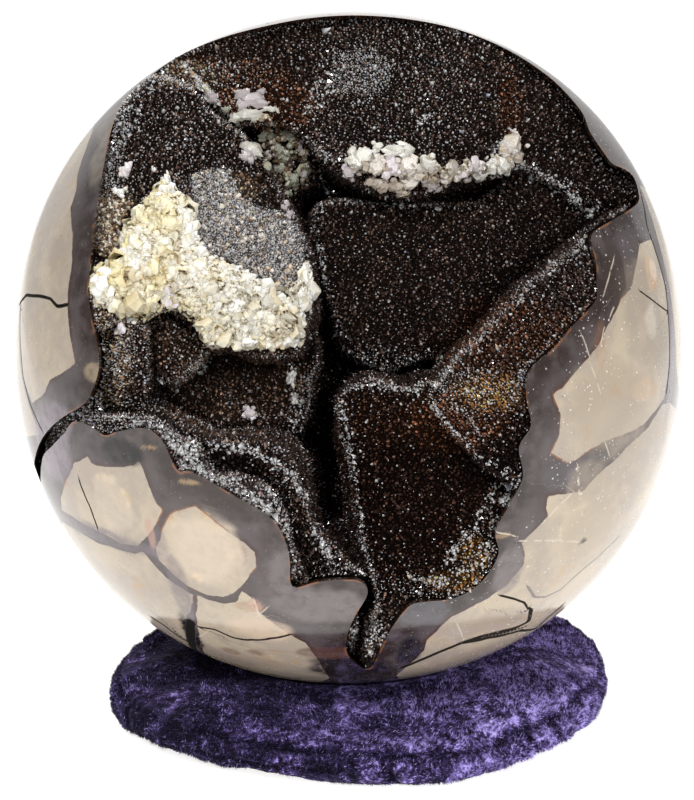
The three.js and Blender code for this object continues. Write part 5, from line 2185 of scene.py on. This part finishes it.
@dataclass
class VelvetCushion:
    """The round pad: a crowned top panel dished under the ball, a sewn edge, a side band and a flat foot."""

    radius: float = 55.4
    shift: tuple[float, float] = (2.0, -2.0)
    waves: Waves = ((0.6, -0.95), (0.85, -0.8), (0.6, 1.3), (1.05, -1.95))
    seam_height: float = 8.0
    crown_height: float = 14.5
    gap: float = 0.3
    sectors: int = 300
    top_rings: int = 60
    side_rings: int = 16
    foot_rings: int = 10
    inset: float = 1.2
    bulge: float = 1.2
    foot_inset: float = 0.9
    voxel: float = 2.15
    pressure: float = 4.0
    most_swelling: float = 2.2
    steps: int = 20
    bins: int = 120
    overhang: float = 1.6
    tufts: int = 92000
    tuft_length: float = 0.9
    tuft_width: float = 0.175
    tucks: tuple[tuple[float, float], ...] = (
        (-151, 0.9), (-122, 0.3), (-97, 0.4), (-83, 1.5), (-62, 0.4), (-46, 1.6), (-30, 0.8), (-12, 0.4),
        (22, 0.6), (71, 0.5), (112, 0.7), (162, 0.8),
    )

    def outer(self, angle: Array) -> Array:
        """The radius at an angle: a circle with slow waves of one to four lobes."""
        return self.radius + waved(angle, self.waves)

    def form(self) -> Surface:
        """The pad before it is filled, a little smaller than the finished one.

        The top rises to the crown as a power of cos(share), the side bulges as a half sine and draws in
        towards the foot, and the foot runs level to the middle.
        """
        angle = np.linspace(0, 2 * math.pi, self.sectors, endpoint=False)
        share = np.linspace(0.002, 1, self.top_rings)[:, None] ** 0.75
        side = np.linspace(0, 1, self.side_rings)[1:, None]
        foot = np.linspace(1, 0.002, self.foot_rings)[1:, None]
        outer = self.outer(angle)[None] - self.inset
        rise = self.crown_height - self.seam_height
        crown = self.seam_height - 0.3 + rise * np.cos(math.pi / 2 * share) ** 0.6
        radial = np.vstack([
            share * outer,
            outer + self.bulge * np.sin(math.pi * side) - self.foot_inset * side**5,
            foot * (outer - self.foot_inset),
        ])
        height = np.vstack([crown + 0 * outer, (1 - side) * self.seam_height + 0 * outer, 0 * foot * outer])
        x = self.shift[0] + radial * np.cos(angle)
        y = self.shift[1] + radial * np.sin(angle)
        points = np.stack([x.ravel(), y.ravel(), height.ravel()], axis=1)
        points[:, 2] = np.minimum(points[:, 2], FACE.underside(points[:, 0], points[:, 1], self.gap))
        rings = len(points) // self.sectors
        return Surface(points, Surface.grid(self.sectors, rings, wrap=True)[:, [0, 2, 1]])

    def filled(self, form: Surface, material: bpy.types.Material) -> Surface:
        """Blows the form up as cloth, with a cap on how far each point moves.

        Args:
            form: the pad before it is filled.
            material: the finish that the scratch meshes take.

        Returns:
            The filled pad, subdivided twice.
        """
        rough = build_mesh("pad_form", form.points * MM, form.triangles, {}, material, True)
        remesh = rough.modifiers.new("remesh", "REMESH")
        remesh.mode, remesh.voxel_size = "VOXEL", self.voxel * MM
        pad = bpy.data.objects.new("pad_cloth", evaluated(rough))
        bpy.context.scene.collection.objects.link(pad)
        bpy.data.objects.remove(rough)
        start = coordinates(pad.data)
        cloth = pad.modifiers.new("cloth", "CLOTH")
        cloth.settings.use_pressure = True
        cloth.settings.uniform_pressure_force = self.pressure
        cloth.settings.effector_weights.gravity = 0
        cloth.point_cache.frame_start, cloth.point_cache.frame_end = 1, self.steps
        for number in range(1, self.steps + 1):
            bpy.context.scene.frame_set(number)
        swollen = evaluated(pad)
        move = coordinates(swollen) - start
        length = np.linalg.norm(move, axis=1)
        log.info("pad swelling, largest and mean: %.2f %.2f mm", length.max() / MM, length.mean() / MM)
        cap = self.most_swelling * MM
        start += move * np.minimum(1, cap / np.maximum(length, 1e-9))[:, None]
        pad.modifiers.remove(cloth)
        bpy.context.scene.frame_set(1)
        pad.data.vertices.foreach_set("co", start.astype(np.float32).ravel())
        pad.data.update()
        smooth = pad.modifiers.new("smooth", "SUBSURF")
        smooth.levels = smooth.render_levels = 2
        mesh = evaluated(pad)
        mesh.calc_loop_triangles()
        triangles = np.empty(3 * len(mesh.loop_triangles), np.int32)
        mesh.loop_triangles.foreach_get("vertices", triangles)
        bpy.data.objects.remove(pad)
        return Surface(coordinates(mesh) / MM, triangles.reshape(-1, 3).astype(int))

    def dressed(self, pad: Surface) -> Surface:
        """Fits the filled pad to its outline, then draws in its seam, puckers, tucks, fold and dents.

        The seam is a groove exp(-(height / width)^2) at its height, with puckers along it as cosines and a
        lip over it. Each tuck is such a groove down the side band at one angle, with a swelling on either
        side, and the fold is one along the band. Noise dents the top, which stays under the ball.

        Args:
            pad: the filled pad.

        Returns:
            The pad with a layer of painted shading, above 0 on ridges, which are painted lighter, and below
            0 in grooves, which are painted darker.
        """
        centre = np.array([*self.shift, 0.0])
        x, y, z = (pad.points - centre).T
        angle, reach = np.arctan2(y, x), np.hypot(x, y)
        widest = np.zeros(self.bins)
        np.maximum.at(widest, ((angle / (2 * math.pi) + 0.5) * self.bins).astype(int) % self.bins, reach)
        widest = sum(np.roll(widest, step) for step in (-1, 0, 1)) / 3
        middle = (np.arange(self.bins) + 0.5) / self.bins * 2 * math.pi - math.pi
        fitted = (self.outer(middle) + self.overhang) / widest
        stretch = np.interp(angle, middle, fitted, period=2 * math.pi)
        reach = reach * (1 + (stretch - 1) * smooth_step(reach, 10, 45))
        spot = np.stack([20 * np.cos(angle), 20 * np.sin(angle), 0 * angle], 1)
        waver = NOISE.fractal(spot, 6.0, 3)
        band = smooth_step(reach, 42, 50)
        above = z - self.seam_height - 0.9 * waver
        groove = np.exp(-((above / 0.6) ** 2)) * band
        puckers = np.cos(52 * angle + 6 * waver) * np.exp(-((above / 3.0) ** 2)) * band
        side = smooth_step(z, 0.3, 2.0) * smooth_step(self.seam_height + 0.6 - z, 0.0, 2.0) * band
        tuck, swell = np.zeros_like(z), np.zeros_like(z)
        for turn, depth in self.tucks:
            off = (np.degrees(angle) - turn + 180) % 360 - 180 + 0.5 * (z - 4) + 2 * waver
            tuck += depth * np.exp(-((off / 1.1) ** 2)) * side
            swell += 0.3 * depth * np.exp(-(((np.abs(off) - 3.5) / 2.5) ** 2)) * side
        fold = np.exp(-(((z - 4.2 - 0.6 * waver) / 0.7) ** 2)) * side
        fold = fold * smooth_step(np.degrees(-angle), 90, 105) * smooth_step(np.degrees(-angle), 150, 130)
        lip = np.exp(-(((above - 1.9) / 1.2) ** 2)) * band
        reach = reach - 0.8 * groove + 0.16 * puckers - tuck + swell - 0.9 * fold + 0.3 * lip
        points = np.stack([reach * np.cos(angle), reach * np.sin(angle), z], 1) + centre
        free = smooth_step(z, 0.0, 3.0)
        dents = 1.3 * NOISE.fractal(points, 17.0, 2) + 0.5 * NOISE.fractal(points + 50, 5.0, 2)
        points[:, 2] += (dents - 0.4 * groove + 0.1 * puckers) * free
        ball = FACE.underside(points[:, 0], points[:, 1], self.gap)
        points[:, 2] = np.maximum(np.minimum(points[:, 2], ball), 0)
        # painted shading: the lip, puckers and swellings are painted lighter, the seam groove, tucks and
        # fold darker
        nap_and_painted_shading = 0.4 * lip + 0.12 * puckers + 0.5 * swell - 0.6 * groove - 0.7 * tuck - 0.6 * fold
        return Surface(points, pad.triangles, {"nap_and_painted_shading": nap_and_painted_shading})

    def build(self) -> None:
        """Makes the cushion and its pile."""
        finish = VelvetFinish().make()
        pad = self.dressed(self.filled(self.form(), finish))
        cushion = build_mesh("velvet_cushion", pad.points * MM, pad.triangles, pad.layers, finish, True)
        keep(cushion, Slot.VELVET, "cushion")
        nap_and_painted_shading = self.pile(pad)
        finish = VelvetFinish("velvet_tufts").make()
        pile = build_mesh("velvet_pile", nap_and_painted_shading.points * MM, nap_and_painted_shading.triangles, nap_and_painted_shading.layers, finish, False)
        keep(pile, Slot.VELVET, "cushion")

    def pile(self, pad: Surface) -> Surface:
        """Tufts of pile: thin triangles combed to lie where slow noise points them.

        Args:
            pad: the pad's surface.

        Returns:
            The tufts as one surface.
        """
        rng = np.random.default_rng(9)
        count = self.tufts
        middle, normal, area = pad.facets()
        gap = np.linalg.norm(middle - np.array([0, 0, FACE.centre_height]), axis=1) - FACE.radius
        weight = np.where((middle[:, 2] > 0.4) & (gap > 1.2), area, 0)
        chosen = rng.choice(len(area), count, p=weight / weight.sum())
        mix = rng.dirichlet((1, 1, 1), count)
        foot = (pad.points[pad.triangles[chosen]] * mix[:, :, None]).sum(axis=1)
        comb = np.stack([NOISE.fractal(foot + shift, 10.0, 3) for shift in (0.0, 70.0, 140.0)], axis=1)
        lean = unit(normal[chosen] * 0.55 + 1.6 * comb + rng.normal(0, 0.22, (count, 3)))
        side = 0.5 * self.tuft_width * unit(np.cross(lean, rng.normal(size=(count, 3))))
        tip = foot + lean * self.tuft_length * rng.uniform(0.6, 1.2, (count, 1))
        tip[:, 2] = np.maximum(tip[:, 2], 0.02)
        points = np.stack([foot - side, foot + side, tip], axis=1).reshape(-1, 3)
        # each tuft takes the pad's painted shading there, plus a random tone of its own
        layer = (pad.layers["nap_and_painted_shading"][pad.triangles[chosen]] * mix).sum(axis=1) + rng.normal(0, 1.0, count)
        return Surface(points, np.arange(3 * count).reshape(-1, 3), {"nap_and_painted_shading": np.repeat(layer, 3)})


# ---------------------------------------------------------------------------------------------------------
# The studio
# ---------------------------------------------------------------------------------------------------------


@dataclass
class Studio:
    """A white table that runs up behind the object, soft lights and the camera."""

    camera_distance: float = 0.650
    lens: float = 129.0
    shift: tuple[float, float] = (-0.00375, -0.06625)
    world_strength: float = 0.3
    table_glow: float = 0.9

    def table(self) -> None:
        """A white table whose far side curves up: a level run, a quarter circle and an upright."""
        reach, bend, top = 2.6, 0.8, 2.4
        turn = np.linspace(0, math.pi / 2, 16)
        y = np.concatenate([[-reach], 1.7 + bend * np.sin(turn), [1.7 + bend]])
        z = np.concatenate([[0], bend - bend * np.cos(turn), [top]])
        side = np.array([-reach, reach])
        points = np.stack([
            np.tile(side, len(y)), np.repeat(y, 2), np.repeat(z, 2)
        ], axis=1)
        graph = Graph("white_table")
        near = abs(graph.axis(0)).ramp(0.45, 0.27) * graph.axis(1).ramp(-0.34, -0.20)
        material = graph.finish(
            Base_Color=(0.50, 0.495, 0.49),
            Roughness=0.9,
            Emission_Color=graph.blend(near, (0.1, 0.1, 0.1), (1.0, 0.985, 0.965)),
            Emission_Strength=self.table_glow,
        )
        build_mesh("studio_table", points, Surface.grid(2, len(y)), {}, material, True)

    def camera(self) -> None:
        """A long lens square to the hollow's face."""
        data = bpy.data.cameras.new("camera")
        data.lens = self.lens
        data.sensor_width = 36.0
        data.shift_x, data.shift_y = self.shift
        camera = bpy.data.objects.new("camera", data)
        bpy.context.scene.collection.objects.link(camera)
        centre = Vector((0, 0, FACE.centre_height * MM))
        away = Vector((0, -math.cos(FACE.tilt), math.sin(FACE.tilt)))
        camera.location = centre + away * self.camera_distance
        camera.rotation_euler = away.to_track_quat("Z", "Y").to_euler()
        bpy.context.scene.camera = camera

    def sun(self, name: str, azimuth: float, elevation: float, strength: float, spread: float) -> None:
        """A far soft light.

        Args:
            name: the light's name.
            azimuth: degrees to the right of the front.
            elevation: degrees above level.
            strength: its power on a square metre.
            spread: how wide it looks, in degrees.
        """
        data = bpy.data.lights.new(name, "SUN")
        data.energy, data.angle = strength, math.radians(spread)
        light = bpy.data.objects.new(name, data)
        bpy.context.scene.collection.objects.link(light)
        across, up = math.radians(azimuth), math.radians(elevation)
        towards = Vector((math.sin(across) * math.cos(up), -math.cos(across) * math.cos(up), math.sin(up)))
        light.rotation_euler = towards.to_track_quat("Z", "Y").to_euler()

    def build(self) -> None:
        """Sets up the table, world, lights and camera."""
        self.table()
        self.camera()
        world = bpy.data.worlds.new("studio")
        world.use_nodes = True
        background = world.node_tree.nodes["Background"]
        background.inputs["Color"].default_value = (1.0, 1.0, 1.0, 1.0)
        background.inputs["Strength"].default_value = self.world_strength
        bpy.context.scene.world = world
        self.sun("key", -22, 46, 1.9, 8)
        self.sun("fill", 34, 24, 1.2, 12)
        self.sun("top", 165, 65, 0.9, 30)
        bpy.context.scene.view_settings.view_transform = "Standard"


def main() -> None:
    """Builds the ball, its crust and crystals, the cushion and the studio."""
    hollow = Hollow()
    PolishedBall(hollow).build()
    CrystalCrust(hollow).build()
    CalciteClusters(hollow).build()
    VelvetCushion().build()
    Studio().build()


if __name__ == "__main__":
    main()
